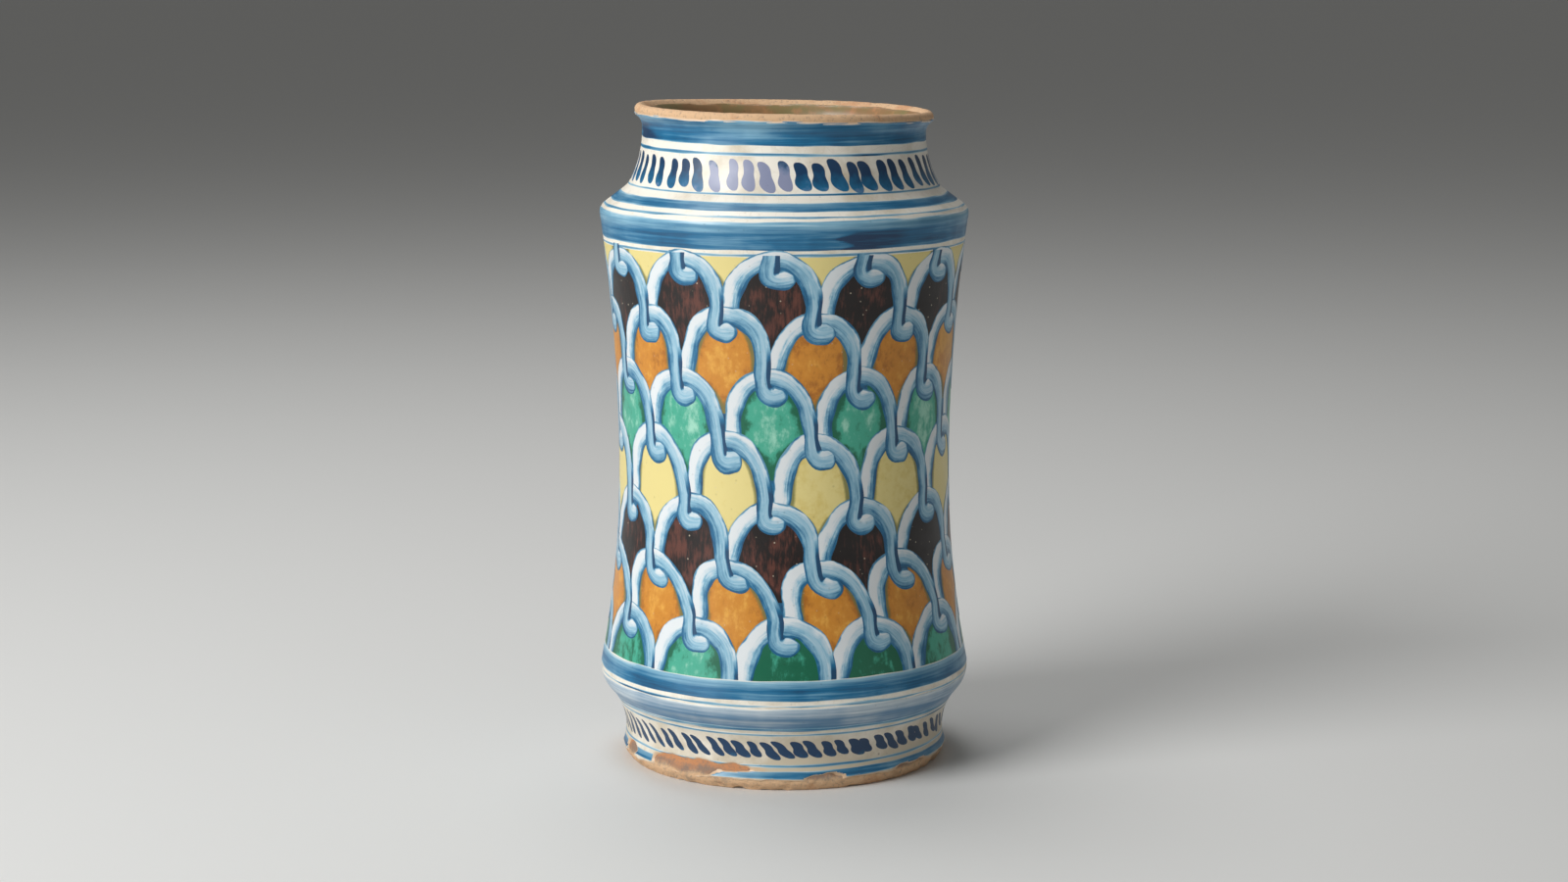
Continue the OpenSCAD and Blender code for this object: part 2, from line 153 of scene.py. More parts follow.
class PatternSizes(PropertyGroup):
    """Sizes of the painted pattern."""
    scales: IntProperty(name="Scales", description="Number of scales round the jar", default=12, min=6,
                        max=24)
    top_z: length("Pattern top", 241, "Height of the top of the scales")
    foot_z: length("Pattern foot", 53, "Height of the foot of the scales")
    rows: IntProperty(name="Rows", description="Number of rows of scales", default=7, min=3, max=10)
    turn: FloatProperty(name="Turn", description="Turn of the first row from the front",
                        default=math.radians(-3), subtype="ANGLE", unit="ROTATION")
    neck_strokes: IntProperty(name="Neck strokes", description="Brush strokes round the neck", default=54)
    foot_strokes: IntProperty(name="Foot strokes", description="Brush strokes round the foot", default=72)
    lean: FloatProperty(name="Lean", description="Lean of the brush strokes from upright",
                        default=math.radians(15), subtype="ANGLE", unit="ROTATION")
    hand: FloatProperty(name="Hand", default=1.0, min=0.0, max=2.0, subtype="FACTOR",
                        description="How far the painter's hand strays, 0 for a printed pattern")


class JarColours(PropertyGroup):
    """Colours of the clay, the glazes and the paints."""
    clay: tint("Clay", "#d3ae88", "Fired buff clay")
    clay_red: tint("Fresh clay", "#c0865c", "Redder clay where the glaze came off")
    dirt: tint("Dirt", "#7b7168", "Old dirt in the pores of the clay")
    lining: tint("Lining", "#8f6f4b", "Thin glaze inside")
    lining_green: tint("Lining pools", "#7d774c", "Greenish glaze where it ran thicker inside")
    white: tint("White glaze", "#efe9dc", "Warm white tin glaze")
    # Real stains, and also the colour of the painted shade towards the foot and of painted glints on burst
    # bubbles
    stain_shade_and_glint: tint("Stain", "#c9bda6", "Stained glaze")
    cobalt: tint("Cobalt", "#186992", "Cobalt blue laid on with a full brush")
    pale_blue: tint("Pale blue", "#8bb9ce", "Cobalt blue thinned to a wash")
    worn_blue: tint("Worn blue", "#c6d1d6", "Wash that hardly covers the glaze")
    grey_blue: tint("Grey blue", "#6489a7", "Greyish wash under the belly")
    navy: tint("Navy", "#10375a", "Cobalt where it pools")
    ribbon: tint("Ribbon white", "#dbe0e2", "White glaze with a breath of blue, left bare on the ribbons")
    violet: tint("Violet grey", "#858ba6", "Cobalt from an almost dry brush")
    brown: tint("Brown", "#120807", "Manganese brown")
    brown_red: tint("Brown streaks", "#5c3126", "Manganese brown brushed thin")
    orange: tint("Orange", "#c98429", "Iron orange")
    orange_deep: tint("Deep orange", "#a4641c", "Iron orange where it pools")
    pale_orange: tint("Pale orange", "#dda243", "Iron orange brushed thin")
    green: tint("Green", "#41a58a", "Copper green")
    green_deep: tint("Deep green", "#0d6246", "Copper green where it pools")
    pale_green: tint("Pale green", "#98d0b9", "Copper green brushed thin")
    yellow: tint("Yellow", "#e0d089", "Antimony yellow")
    yellow_deep: tint("Deep yellow", "#d3bd6a", "Antimony yellow where it pools")
    olive: tint("Olive", "#6e7040", "Yellow or orange over the blue outline")
    floor: tint("Floor", "#dcdcda", "Studio floor")


# The section of the jar

def bearing(start, end):
    """Direction from one point of the section to another."""
    return math.atan2(end[1] - start[1], end[0] - start[0])


def arc(centre, radius, start, end, side):
    """Rows of radius, height and outward normal along an arc. The clay bulges where side is 1 and is hollow
    where it is -1, so the normal is the ray from the centre times side."""
    a = np.linspace(start, end, max(3, math.ceil(abs(end - start) * radius / ARC_STEP)))
    ray = np.stack((np.cos(a), np.sin(a)), 1)
    return np.hstack((centre + radius * ray, side * ray))


def hollow(r, z, edge_c, edge_r):
    """Centre and radius of the hollow that is upright at radius r and height z and runs into a rounded edge:
    its centre is level with z, and the distance between the two centres is the sum of the two radii."""
    gap, rise = r - edge_c[0], edge_c[1] - z
    radius = (gap ** 2 + rise ** 2 - edge_r ** 2) / (2 * (edge_r - gap))
    return np.array((r + radius, z)), radius


def sections(s):
    """Outside, lip and inside of the clay as rows of radius, height and normal. Each is a chain of arcs that
    run into each other, from the foot's edge up, over the lip and down to the corner of the floor. The
    outside reaches a little way round the lip."""
    half = math.pi
    foot_r, lip_r = s.shoulder_r - s.foot_in, s.lip_t / 2
    neck_r = s.shoulder_r - s.lip_in - s.neck_in
    neck_z, waist_r = s.height - s.neck_drop, s.shoulder_r - s.waist_in
    foot_c = np.array((foot_r - s.foot_edge, s.foot_z))
    belly_c = np.array((s.shoulder_r + s.belly_out - s.belly_edge, s.belly_z))
    shoulder_c = np.array((s.shoulder_r - s.shoulder_edge, s.height - s.shoulder_drop))
    lip_c = np.array((s.shoulder_r - s.lip_in - lip_r, s.height - lip_r))
    low_c, low_r = hollow(foot_r - s.foot_waist_in, s.foot_waist_z, foot_c, s.foot_edge)
    high_c, high_r = hollow(foot_r - s.foot_waist_in, s.foot_waist_z, belly_c, s.belly_edge)
    wall_low_c, wall_low_r = hollow(waist_r, s.waist_z, belly_c, s.belly_edge)
    wall_high_c, wall_high_r = hollow(waist_r, s.waist_z, shoulder_c, s.shoulder_edge)
    flare_c, flare_r = hollow(neck_r, neck_z, lip_c, lip_r)
    neck_c = np.array((neck_r + s.neck_hollow, neck_z))
    # The ledge is straight, from the foot of the neck to where it touches the shoulder's edge
    foot_a = math.asin((s.ledge_drop - s.neck_drop) / s.neck_hollow)
    neck_foot = neck_c - s.neck_hollow * np.array((math.cos(foot_a), math.sin(foot_a)))
    reach = np.linalg.norm(shoulder_c - neck_foot)
    ledge_a = bearing(neck_foot, shoulder_c) + math.acos(-s.shoulder_edge / reach)
    outside = np.vstack((
        arc(foot_c, s.foot_edge, -half / 4, bearing(foot_c, low_c), 1),
        arc(low_c, low_r, half + bearing(foot_c, low_c), half, -1),
        arc(high_c, high_r, half, half + bearing(belly_c, high_c), -1),
        arc(belly_c, s.belly_edge, bearing(belly_c, high_c), bearing(belly_c, wall_low_c), 1),
        arc(wall_low_c, wall_low_r, half + bearing(belly_c, wall_low_c), half, -1),
        arc(wall_high_c, wall_high_r, half, half + bearing(shoulder_c, wall_high_c), -1),
        arc(shoulder_c, s.shoulder_edge, bearing(shoulder_c, wall_high_c), ledge_a, 1),
        arc(neck_c, s.neck_hollow, half + foot_a, half, -1),
        arc(flare_c, flare_r, half, half + bearing(lip_c, flare_c), -1)))
    inner_neck_r, inner_waist_r = neck_r - s.neck_wall, waist_r - s.wall
    gap, rise = lip_c[0] - inner_neck_r, lip_c[1] - neck_z
    throat_r = (gap ** 2 + rise ** 2 - lip_r ** 2) / (2 * (gap - lip_r))
    throat_c = np.array((inner_neck_r + throat_r, neck_z))
    under_c = np.array((s.shoulder_r - s.wall - s.inner_shoulder,
                        s.height - s.shoulder_drop - s.inner_shoulder_drop))
    in_neck_c, in_neck_r = hollow(inner_neck_r, neck_z, under_c, s.inner_shoulder)
    in_wall_c, in_wall_r = hollow(inner_waist_r, s.waist_z, under_c, s.inner_shoulder)
    in_belly = s.belly_edge - s.wall
    corner_c = np.array((foot_r - s.base_in - s.floor_flat_in, s.recess + s.floor_t + s.floor_corner))
    taper = bearing(corner_c, belly_c) - math.acos(
        (s.floor_corner - in_belly) / np.linalg.norm(belly_c - corner_c))
    lip = arc(lip_c, lip_r, bearing(lip_c, flare_c), bearing(throat_c, lip_c), 1)
    inside = np.vstack((
        arc(throat_c, throat_r, bearing(throat_c, lip_c), half, 1),
        arc(in_neck_c, in_neck_r, half, half + bearing(under_c, in_neck_c), 1),
        arc(under_c, s.inner_shoulder, bearing(under_c, in_neck_c), bearing(under_c, in_wall_c), -1),
        arc(in_wall_c, in_wall_r, half + bearing(under_c, in_wall_c), half, 1),
        arc(wall_low_c, wall_low_r + s.wall, half, half + bearing(belly_c, wall_low_c), 1),
        arc(belly_c, in_belly, bearing(belly_c, wall_low_c), taper, -1),
        arc(corner_c, s.floor_corner, taper, -half / 2, -1)))
    rounds = lip[:, 1] < lip_c[1] + 0.4 * lip_r
    return np.vstack((outside, lip[rounds & (lip[:, 0] > lip_c[0])])), lip, inside


def spaced(line, step):
    """Rows along a line, as far apart as step says at each row: the line's length is counted in steps and
    read at even parts of one step."""
    gaps = np.hypot(*np.diff(line[:, :2], axis=0).T)
    count = np.concatenate(((0,), np.cumsum(2 * gaps / (step[1:] + step[:-1]))))
    at = np.linspace(0, count[-1], math.ceil(count[-1]) + 1)
    return np.stack([np.interp(at, count, column) for column in line.T], 1)


# The hand of thrower and painter

def wander(a, seed, waves):
    """A smooth closed line round the jar, mostly between -1 and 1: a sum of waves of seeded size and
    phase."""
    rng = np.random.default_rng(seed)
    waves = np.asarray(waves, float)
    sizes, phases = rng.uniform(0.4, 1.0, len(waves)), rng.uniform(0, TURN, len(waves))
    shape = (-1,) + (1,) * np.ndim(a)
    parts = sizes.reshape(shape) * np.sin(waves.reshape(shape) * a + phases.reshape(shape))
    return parts.sum(0) / np.sqrt(len(waves))


def ragged(a, z, seed, grain):
    """Uneven ground of that grain on the wall, mostly between -1 and 1: a sum of nine slanting waves of
    seeded direction."""
    rng = np.random.default_rng(seed)
    total = 0
    for ring in rng.integers(1, max(2, round(TURN * WALL_R / grain)), 9):
        rise = rng.uniform(-1, 1) * TURN / grain
        total = total + np.sin(ring * a + rise * z + rng.uniform(0, TURN))
    return total / 3


def step_up(value, width):
    """0 below minus half the width, 1 above plus half of it, and a smooth step between."""
    t = np.clip(value / width + 0.5, 0, 1)
    return t * t * (3 - 2 * t)


def past(a, degrees):
    """How far an angle lies past another, given in degrees, the short way round."""
    return np.angle(np.exp(1j * (a - np.radians(degrees))))


def thrown(s, a, r, z):
    """Points of the section turned by angle a from the front, which faces -Y, to the right. Drying leaves
    the jar a little oval, the fingers leave faint rings, and the neck stands a little higher on the left."""
    up = np.clip(z / s.height, 0, 1)
    oval = 0.0018 * up * np.cos(2 * a + 0.7) + 0.0010 * np.cos(3 * a + 2.1)
    rings = 0.03 * MM * np.sin(TURN * z / (14 * MM) + a)
    tilt = (0.5 - 1.6 * np.sin(a) + 0.25 * np.sin(3 * a + 0.4)) * MM
    r = r * (1 + oval)
    # No rings on the foot, and none on base and floor
    r = r + rings * step_up(z - 20 * MM, 20 * MM) * step_up(r - 50 * MM, 9 * MM)
    z = z + tilt * up ** 10
    return np.stack((r * np.sin(a), -r * np.cos(a), z), -1)


# Flakes off the foot: angle in degrees, and height, half the width and half the height in millimetres
FLAKES = ((-38, 8.0, 23, 3.6), (-24, 9.8, 18, 1.5), (-70, 7.4, 7, 3.0), (14, 5.4, 8, 1.7),
          (48, 5.0, 14, 1.2), (150, 7.5, 21, 2.6), (118, 5.6, 12, 1.7), (205, 6.0, 16, 2.0),
          (262, 7.5, 13, 2.4))


def glazed(s, a, z):
    """How far a place lies inside the edge of the white glaze, under 0 where the glaze is gone: below its
    ragged edge at the foot, on the worn lip, and where flakes came off the foot, which are ovals with an
    uneven edge."""
    swell, teeth = wander(a, seed=3, waves=(2, 5, 9, 14)), wander(a, seed=4, waves=(23, 31, 47, 60))
    foot = 4.6 * MM + 0.6 * MM * swell + 0.35 * MM * teeth
    lip = s.height - 2.9 * MM + 0.4 * MM * wander(a, seed=5, waves=(3, 7, 13, 24, 37))
    inside = np.minimum(z - foot, lip - z)
    coarse, fine = ragged(a, z, seed=8, grain=13 * MM), ragged(a, z, seed=9, grain=5 * MM)
    uneven = 0.45 * MM * coarse + 0.2 * MM * fine
    for at, level, wide, tall in FLAKES:
        off = past(a, at) * s.shoulder_r / (wide * MM)
        up = (z - level * MM) / (tall * MM)
        inside = np.minimum(inside, (np.hypot(off, up) - 1) * tall * MM + uneven)
    return inside


def glaze_rise(s, inside):
    """Rise of the glaze over the clay: from its edge it slopes up to its thickness, or down into the
    clay."""
    return np.clip(EDGE_SLOPE * inside, -LOST, s.glaze_t)


def on_wall(s, a, z, rise):
    """Points outside the jar at an angle and a height, raised from the clay along the wall's normal."""
    r, level, out, up = sections(s)[0].T
    r, out, up = (np.interp(z, level, part) for part in (r, out, up))
    return thrown(s, a, r + rise * out, z + rise * up)


# Meshes

def quads(rows, columns, round_rows=False, round_columns=False):
    """Corners of a grid's faces. A round direction joins its last line of points to its first."""
    r, c = np.meshgrid(np.arange(rows - (not round_rows)), np.arange(columns - (not round_columns)),
                       indexing="ij")
    near, far = r * columns, (r + 1) % rows * columns
    after = (c + 1) % columns
    return np.stack((near + c, far + c, far + after, near + after), -1).reshape(-1, 4)


def new_piece(name, points, faces, finish, slot, nodes, **marks):
    """Puts points and quads into a mesh that rides on the jar, stands for CAD nodes and has a finish. Points
    that meet on the axis are joined, faces turn outwards, and marks are kept on the points for the finish to
    read."""
    points = np.asarray(points, float).reshape(-1, 3)
    used, faces = np.unique(faces, return_inverse=True)
    faces, points = faces.reshape(-1, 4), points[used]
    # The volume, summed over the faces, is under 0 where they turn inwards
    p0, p1, p2, p3 = points[faces].swapaxes(0, 1)
    if np.einsum("ij,ij->", p0, np.cross(p1, p2) + np.cross(p2, p3)) < 0:
        faces = faces[:, ::-1]
    mesh = bpy.data.meshes.new(name)
    mesh.vertices.add(len(points))
    mesh.vertices.foreach_set("co", points.astype(np.float32).ravel())
    mesh.loops.add(faces.size)
    mesh.loops.foreach_set("vertex_index", faces.astype(np.int32).ravel())
    mesh.polygons.add(len(faces))
    mesh.polygons.foreach_set("loop_start", np.arange(0, faces.size, 4, dtype=np.int32))
    mesh.update(calc_edges=True)
    for mark, values in marks.items():
        values = np.asarray(values, np.float32).reshape(-1, 3)[used]
        mesh.attributes.new(mark, "FLOAT_VECTOR", "POINT").data.foreach_set("vector", values.ravel())
    shape = bmesh.new()
    shape.from_mesh(mesh)
    bmesh.ops.remove_doubles(shape, verts=shape.verts, dist=JOINED)
    shape.to_mesh(mesh)
    shape.free()
    mesh.shade_smooth()
    mesh.set_sharp_from_angle(angle=SHARP)
    piece = bpy.data.objects.new(name, mesh)
    bpy.context.scene.collection.objects.link(piece)
    mesh.materials.append(finish)
    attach(piece, "root")
    if nodes:
        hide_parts(*nodes)


def revolved(s, line, rise, a, closed):
    """Points and quads of a line of the section carried round the axis to the angles a, raised along its
    normals. A closed line is a ring in section; another starts and ends on the axis."""
    r, z, out, up = line.T
    return thrown(s, a + 0 * r, r + rise * out, z + rise * up), quads(len(a), len(line), True, closed)


def angles(count, front=0.0):
    """A column of angles round the jar. Where front is over 0 they stand closer at the front and wider at
    the back, by that share of a sine wave."""
    a = np.linspace(0, TURN, count, endpoint=False)[:, None]
    return a - front * np.sin(a)


def coats(s, a, z, rise, ring=False):
    """Points and quads of thin closed coats on the glaze. Each is a grid over the wall that rises from its
    sunk rim, closed by the same grid sunk under it. A ring has no ends."""
    count, rows, columns = a.shape
    rim = np.zeros((rows, columns), bool)
    rim[:, (0, -1)] = True
    if not ring:
        rim[(0, -1), :] = True
    inside = glazed(s, a, z)
    # Paint is worn off a little way from the glaze's edge
    glaze = glaze_rise(s, inside) - WORN * step_up(WORN_EDGE - inside, WORN_EDGE)
    top_rise = glaze + np.where(rim, -SINK, rise)
    points = np.stack((on_wall(s, a, z, top_rise), on_wall(s, a, z, glaze - SINK)), 1)
    top = quads(rows, columns, ring)
    own = np.arange(rows * columns)
    under = np.where(rim.ravel(), own, own + own.size)[top][:, ::-1]
    faces = np.concatenate((top, under)) + (2 * own.size * np.arange(count))[:, None, None]
    return points, faces.reshape(-1, 4)


def across(columns):
    """Places across a brush mark from -1 to 1, with a narrow rim at each side."""
    return np.concatenate(((-1,), np.linspace(RIM - 1, 1 - RIM, columns - 2), (1,)))


# Finishes

def add(tree, kind, *values, out=0, **named):
    """Adds a node and gives one of its outputs. Values go to its sockets in their order, and a named one to
    the socket of that name where it starts with a capital, or else to a setting. A socket is linked, and
    None is passed over."""
    node = tree.nodes.new("ShaderNode" + kind)
    sockets = dict(enumerate(values))
    for name, value in named.items():
        if name[0].isupper():
            sockets[name] = value
        else:
            setattr(node, name, value)
    for key, value in sockets.items():
        if isinstance(value, NodeSocket):
            tree.links.new(value, node.inputs[key])
        elif value is not None:
            node.inputs[key].default_value = value
    return node.outputs[out] if len(node.outputs) else node


# A Mix node's five sockets for numbers and vectors lie between its share and its colours
NOT_COLOURS = (None,) * 5


def per(mm):
    """Scale of a pattern whose features are that many millimetres apart."""
    return 1 / (mm * MM)


def rgba(colour):
    """A colour property as a socket takes it."""
    return (*colour, 1.0)


def matt_paint(node, colour):
    """Smooth matt paint on the studio's floor."""
    return node("BsdfPrincipled", rgba(colour), Roughness=0.7)


def new_finish(name, shade):
    """A material from a function that is given the means to add nodes and gives the shader."""
    material = bpy.data.materials.new(name)
    material.use_nodes = True
    material.node_tree.nodes.clear()
    node = partial(add, material.node_tree)
    node("OutputMaterial", shade(node))
    return material


def read_mark(node, name):
    """The three numbers of a mark that a piece keeps on its points."""
    return node("SeparateXYZ", node("Attribute", out="Vector", attribute_name=name), out=slice(3))


def laid(node, ground, *layers):
    """Colours laid on a ground, one over the other. A layer has a value, that at which it is bare, that at
    which it covers, how much it then covers, its colour, and the kind of step between if it isn't even."""
    colour = rgba(ground)
    for value, bare, covers, share, tone, *step in layers:
        kind = step[0] if step else "LINEAR"
        part = node("MapRange", value, bare, covers, 0.0, share, interpolation_type=kind)
        colour = node("Mix", part, *NOT_COLOURS, colour, rgba(tone), out=2, data_type="RGBA")
    return colour


def sunk(load, tones):
    """Layers of a paint that sank into the glaze: its pale, full and deep tones cover at loads of about a
    third, two thirds and 1."""
    ends = (0.0, 0.35), (0.3, 0.7), (0.7, 1.0)
    return [(load, bare, covers, 1.0, tone) for (bare, covers), tone in zip(ends, tones)]


def fired(name, paint):
    """Maiolica: colours that sank into a tin glaze in the kiln, under one glossy skin. The skin is a little
    wavy, like orange peel 6 mm apart, has pinholes where gas came out, and is duller where it was
    handled."""
    def shade(node):
        place = node("TexCoord", out="Object")
        peel = node("TexNoise", place, Scale=per(6), Detail=2.0, Roughness=0.45)
        pits = node("TexVoronoi", place, Scale=per(5.5))
        pits = node("MapRange", pits, 0.05, 0.12, interpolation_type="SMOOTHSTEP")
        height = node("Math", pits, 0.35, peel, operation="MULTIPLY_ADD")
        bump = node("Bump", Height=height, Strength=0.35, Distance=0.35 * MM)
        handled = node("TexNoise", place, Scale=per(22), Detail=4.0, Roughness=0.6)
        rough = node("MapRange", handled, 0.3, 0.7, 0.28, 0.44)
        speck = node("MapRange", pits, 0.0, 1.0, 0.85, 1.0)
        colour = node("Mix", 1.0, *NOT_COLOURS, paint(node, place), speck, out=2, data_type="RGBA",
                      blend_type="MULTIPLY")
        return node("BsdfPrincipled", colour, Roughness=rough, IOR=1.52, Normal=bump)
    return new_finish(name, shade)


def white_glaze(c):
    """Tin glaze over buff clay: opaque warm white, clouded where it is thin, stained in faint patches,
    greyed with painted shade more and more towards the foot, with fine crackle lines about 9 mm apart, a
    brown iron speck here and there, and the clay's colour at its worn edges. The mark's first number says
    how far inside the edge a place lies."""
    def paint(node, place):
        cloud = node("TexNoise", place, Scale=per(24), Detail=5.0, Roughness=0.6)
        level = node("SeparateXYZ", place, out=2)
        # Painted shade: from 55 mm down to 10 mm the glaze is drawn ever greyer, in the stain colour
        cloud = node("Math", cloud, node("MapRange", level, 55 * MM, 10 * MM, 0.0, 0.24))
        bend = node("TexNoise", place, Scale=per(5), Detail=2.0, out=1)
        bent = node("VectorMath", bend, (2 * MM,) * 3, place, operation="MULTIPLY_ADD")
        crack = node("TexVoronoi", bent, Scale=per(9), feature="DISTANCE_TO_EDGE")
        iron = node("TexVoronoi", place, Scale=per(26))
        inside = read_mark(node, "brush")[0]
        return laid(node, c.white, (cloud, 0.48, 0.75, 1.0, c.stain_shade_and_glint), (crack, 0.02, 0.0, 0.25, c.stain_shade_and_glint),
                    (inside, 1.0 * MM, 0.2 * MM, 0.85, c.clay), (iron, 0.03, 0.012, 0.7, c.dirt))
    return fired("tin_glaze_white", paint)


def banded(name, c, tones, mean, lifted):
    """Cobalt wash held to the jar while it turned on the wheel: streaks about 1.6 mm apart that run round
    the jar, thin where the brush ran dry, dark where it was set down, with an uneven, softer edge. Its load
    is mean on the whole, and less by lifted at its top, where the brush lifted off."""
    def paint(node, place):
        _, high, edge = read_mark(node, "brush")
        set_down = read_mark(node, "tone")[0]
        long = node("Mapping", place, Scale=(0.03, 0.03, 1.0))
        streak = node("TexNoise", long, Scale=per(1.6), Detail=4.0, Roughness=0.62)
        cloud = node("TexNoise", place, Scale=per(30), Detail=3.0)
        rim = node("Math", streak, 1.2 * MM, edge, operation="MULTIPLY_ADD")
        rim = node("MapRange", rim, 1.1 * MM, 0.5 * MM, 0.0, -0.38)
        lift = node("Math", cloud, 0.9 * MM, high, operation="MULTIPLY_ADD")
        lift = node("MapRange", lift, 0.5 * MM, 1.4 * MM, 0.0, -lifted)
        # Streaks and clouds are 0.5 on the whole
        load = mean - 0.5 * 0.9 - 0.5 * 0.8
        for part, share in ((streak, 0.9), (cloud, 0.8), (rim, 1.0), (lift, 1.0), (set_down, streak)):
            load = node("Math", part, share, load, operation="MULTIPLY_ADD")
        return laid(node, c.white, *sunk(load, tones))
    return fired(name, paint)


def stroked(c):
    """Short strokes of cobalt: navy where the loaded brush came down, mid blue where it left, and grey
    violet where it was almost dry. The tone's first number says how dry, the mark's second how far down the
    stroke."""
    def paint(node, place):
        down, dry = read_mark(node, "brush")[1], read_mark(node, "tone")[0]
        cloud = node("TexNoise", place, Scale=per(4), Detail=3.0)
        pool, thin = down, dry
        for part, share in ((cloud, 0.9), (dry, 0.8)):
            pool = node("Math", part, share, pool, operation="MULTIPLY_ADD")
        for part, share in ((cloud, 0.9), (down, 0.55)):
            thin = node("Math", part, share, thin, operation="MULTIPLY_ADD")
        return laid(node, c.navy, (pool, 0.8, 1.45, 1.0, c.cobalt),
                    (thin, 0.92, 1.35, 1.0, c.violet, "SMOOTHSTEP"))
    return fired("cobalt_strokes", paint)


def outlined(c):
    """Ribbons: white glaze left bare down their outer side, a blue wash brushed in streaks along their inner
    side, and a cobalt outline, thin at the outer edge and soft at the inner one, drawn with a hand that
    presses and lifts. The mark holds the way along the ribbon, across it and to its edge, the tone the
    ribbon's own share and the part of its length."""
    def paint(node, place):
        mark, tone = (node("Attribute", out="Vector", attribute_name=name) for name in ("brush", "tone"))
        _, side, edge = node("SeparateXYZ", mark, out=slice(3))
        own, far, _ = node("SeparateXYZ", tone, out=slice(3))
        # Streaks are about 1 mm apart across the ribbon and 14 mm long
        along = node("VectorMath", mark, (0.07, 1.0, 0.0), operation="MULTIPLY")
        along = node("VectorMath", tone, (0.0, 0.0, 0.3), along, operation="MULTIPLY_ADD")
        streak = node("TexNoise", along, Scale=per(1.1), Detail=5.0, Roughness=0.65)
        blot = node("TexNoise", place, Scale=per(9), Detail=4.0, Roughness=0.6)
        # The wash covers the inner side, more past the arch's top and less on the hook, with a rough border
        wash = node("MapRange", far, 0.2, 0.42, -6.1, -4.3)
        hook = node("MapRange", far, 0.76, 0.86, 0.0, -0.8)
        for part, share in ((side, 1 / MM), (streak, 5.0), (blot, 6.0), (own, 0.8), (hook, 1.0)):
            wash = node("Math", part, share, wash, operation="MULTIPLY_ADD")
        # Past the arch's top an even thin wash lies under it, which reaches the outer side too
        even = node("Math", wash, node("MapRange", far, 0.25, 0.5, 0.0, 2.4))
        pale = node("MapRange", even, -1.1, 1.9, 0.0, 0.31)
        # On the left leg the inner side was gone over twice
        twice = node("Math", wash, node("MapRange", far, 0.3, 0.12, 0.0, 1.7))
        full = node("MapRange", twice, 1.4, 5.0, 0.0, 0.4)
        grain = node("MapRange", streak, 0.3, 0.7, 0.75, 1.25)
        wash = node("Math", node("Math", pale, full), grain, operation="MULTIPLY")
        # Where the ribbon crosses the next arch, its right side is shaded
        shade = node("Math", streak, 3 * MM, side, operation="MULTIPLY_ADD")
        shade = node("MapRange", shade, 0.5 * MM, -0.6 * MM, 0.0, 0.95)
        for bare, covers in ((0.54, 0.62), (0.84, 0.76)):
            crossing = node("MapRange", far, bare, covers)
            shade = node("Math", shade, crossing, operation="MULTIPLY")
        press = node("TexNoise", place, Scale=per(8), Detail=2.0)
        width = node("MapRange", press, 0.3, 0.7, 0.4 * MM, 1.4 * MM)
        line = node("Math", side, 0.05, width, operation="MULTIPLY_ADD")
        line = node("Math", line, edge, operation="SUBTRACT")
        soft = node("MapRange", side, -2 * MM, 2 * MM, -0.2 * MM, -1.2 * MM)
        line = node("MapRange", line, soft, 0.4 * MM)
        # The brush pressed harder along the inner edge
        ink = node("MapRange", blot, 0.35, 0.7, 0.56, 0.88)
        ink = node("Math", side, 0.02 / MM, ink, operation="MULTIPLY_ADD")
        load = node("Math", line, ink, operation="MULTIPLY")
        for part in (wash, shade):
            load = node("Math", load, part, operation="MAXIMUM")
        return laid(node, c.ribbon, *sunk(load, (c.pale_blue, c.cobalt, c.navy)))
    return fired("ribbon_white_and_blue", paint)


def filled(name, c, tones, grain, pools, brushed=0.92, gather=0.0, specks=0.0, hairs=3.2):
    """A field filled in between outlines, in full, deep, thin and rim tones: streaks as far apart as hairs
    says in millimetres and drawn out as grain says, thin where the load passes brushed, deep where it falls
    by pools and near the edge by gather, olive or dark where it ran over the blue outline, and burst bubbles
    as pale as specks says, partly painted glints where pinholes catch the light."""
    full, deep, thin, rim = tones

    def paint(node, place):
        edge, own = read_mark(node, "brush")[2], read_mark(node, "tone")[0]
        drawn = node("Mapping", place, Scale=(1.0, 1.0, grain))
        load = node("TexNoise", drawn, Scale=per(hairs), Detail=5.0, Roughness=0.65)
        cloud = node("TexNoise", place, Scale=per(11), Detail=3.0)
        shore = node("MapRange", edge, 0.5 * MM, 4.5 * MM, -gather, 0.5 * gather)
        for part, share in ((cloud, 0.8), (own, 0.17), (shore, 1.0)):
            load = node("Math", part, share, load, operation="MULTIPLY_ADD")
        run = node("Math", load, 0.8 * MM, edge, operation="MULTIPLY_ADD")
        # Pale specks: burst bubbles in the glaze, partly painted glints where pinholes catch the light
        bubbles_and_glints = node("TexVoronoi", place, Scale=per(4))
        return laid(node, full, (load, brushed, brushed + 0.33, 1.0, thin, "SMOOTHSTEP"),
                    (load, 0.89, 0.89 - pools, 1.0, deep, "SMOOTHSTEP"),
                    (run, 2.0 * MM, 0.8 * MM, 0.85, rim), (bubbles_and_glints, 0.11, 0.07, specks, c.stain_shade_and_glint))
    return fired(name, paint)


def between(c):
    """Cobalt filled solid into the gaps between the ribbons, dark with lighter brush streaks."""
    def paint(node, place):
        cloud = node("TexNoise", place, Scale=per(4), Detail=4.0, Roughness=0.6)
        return laid(node, c.navy, (cloud, 0.3, 0.6, 1.0, c.cobalt))
    return fired("cobalt_ground", paint)


def thin_lining(c):
    """A thin lead glaze wiped round the inside: buff clay shows through it, greenish where it gathered, with
    brown stains from what was kept in the jar."""
    def paint(node, place):
        thick = node("TexNoise", place, Scale=per(20), Detail=6.0, Roughness=0.65)
        old = node("TexNoise", place, Scale=per(7), Detail=5.0, Roughness=0.7)
        return laid(node, c.lining, (thick, 0.46, 0.66, 1.0, c.lining_green),
                    (old, 0.5, 0.72, 0.7, c.clay_red))
    return fired("lead_glaze_lining", paint)


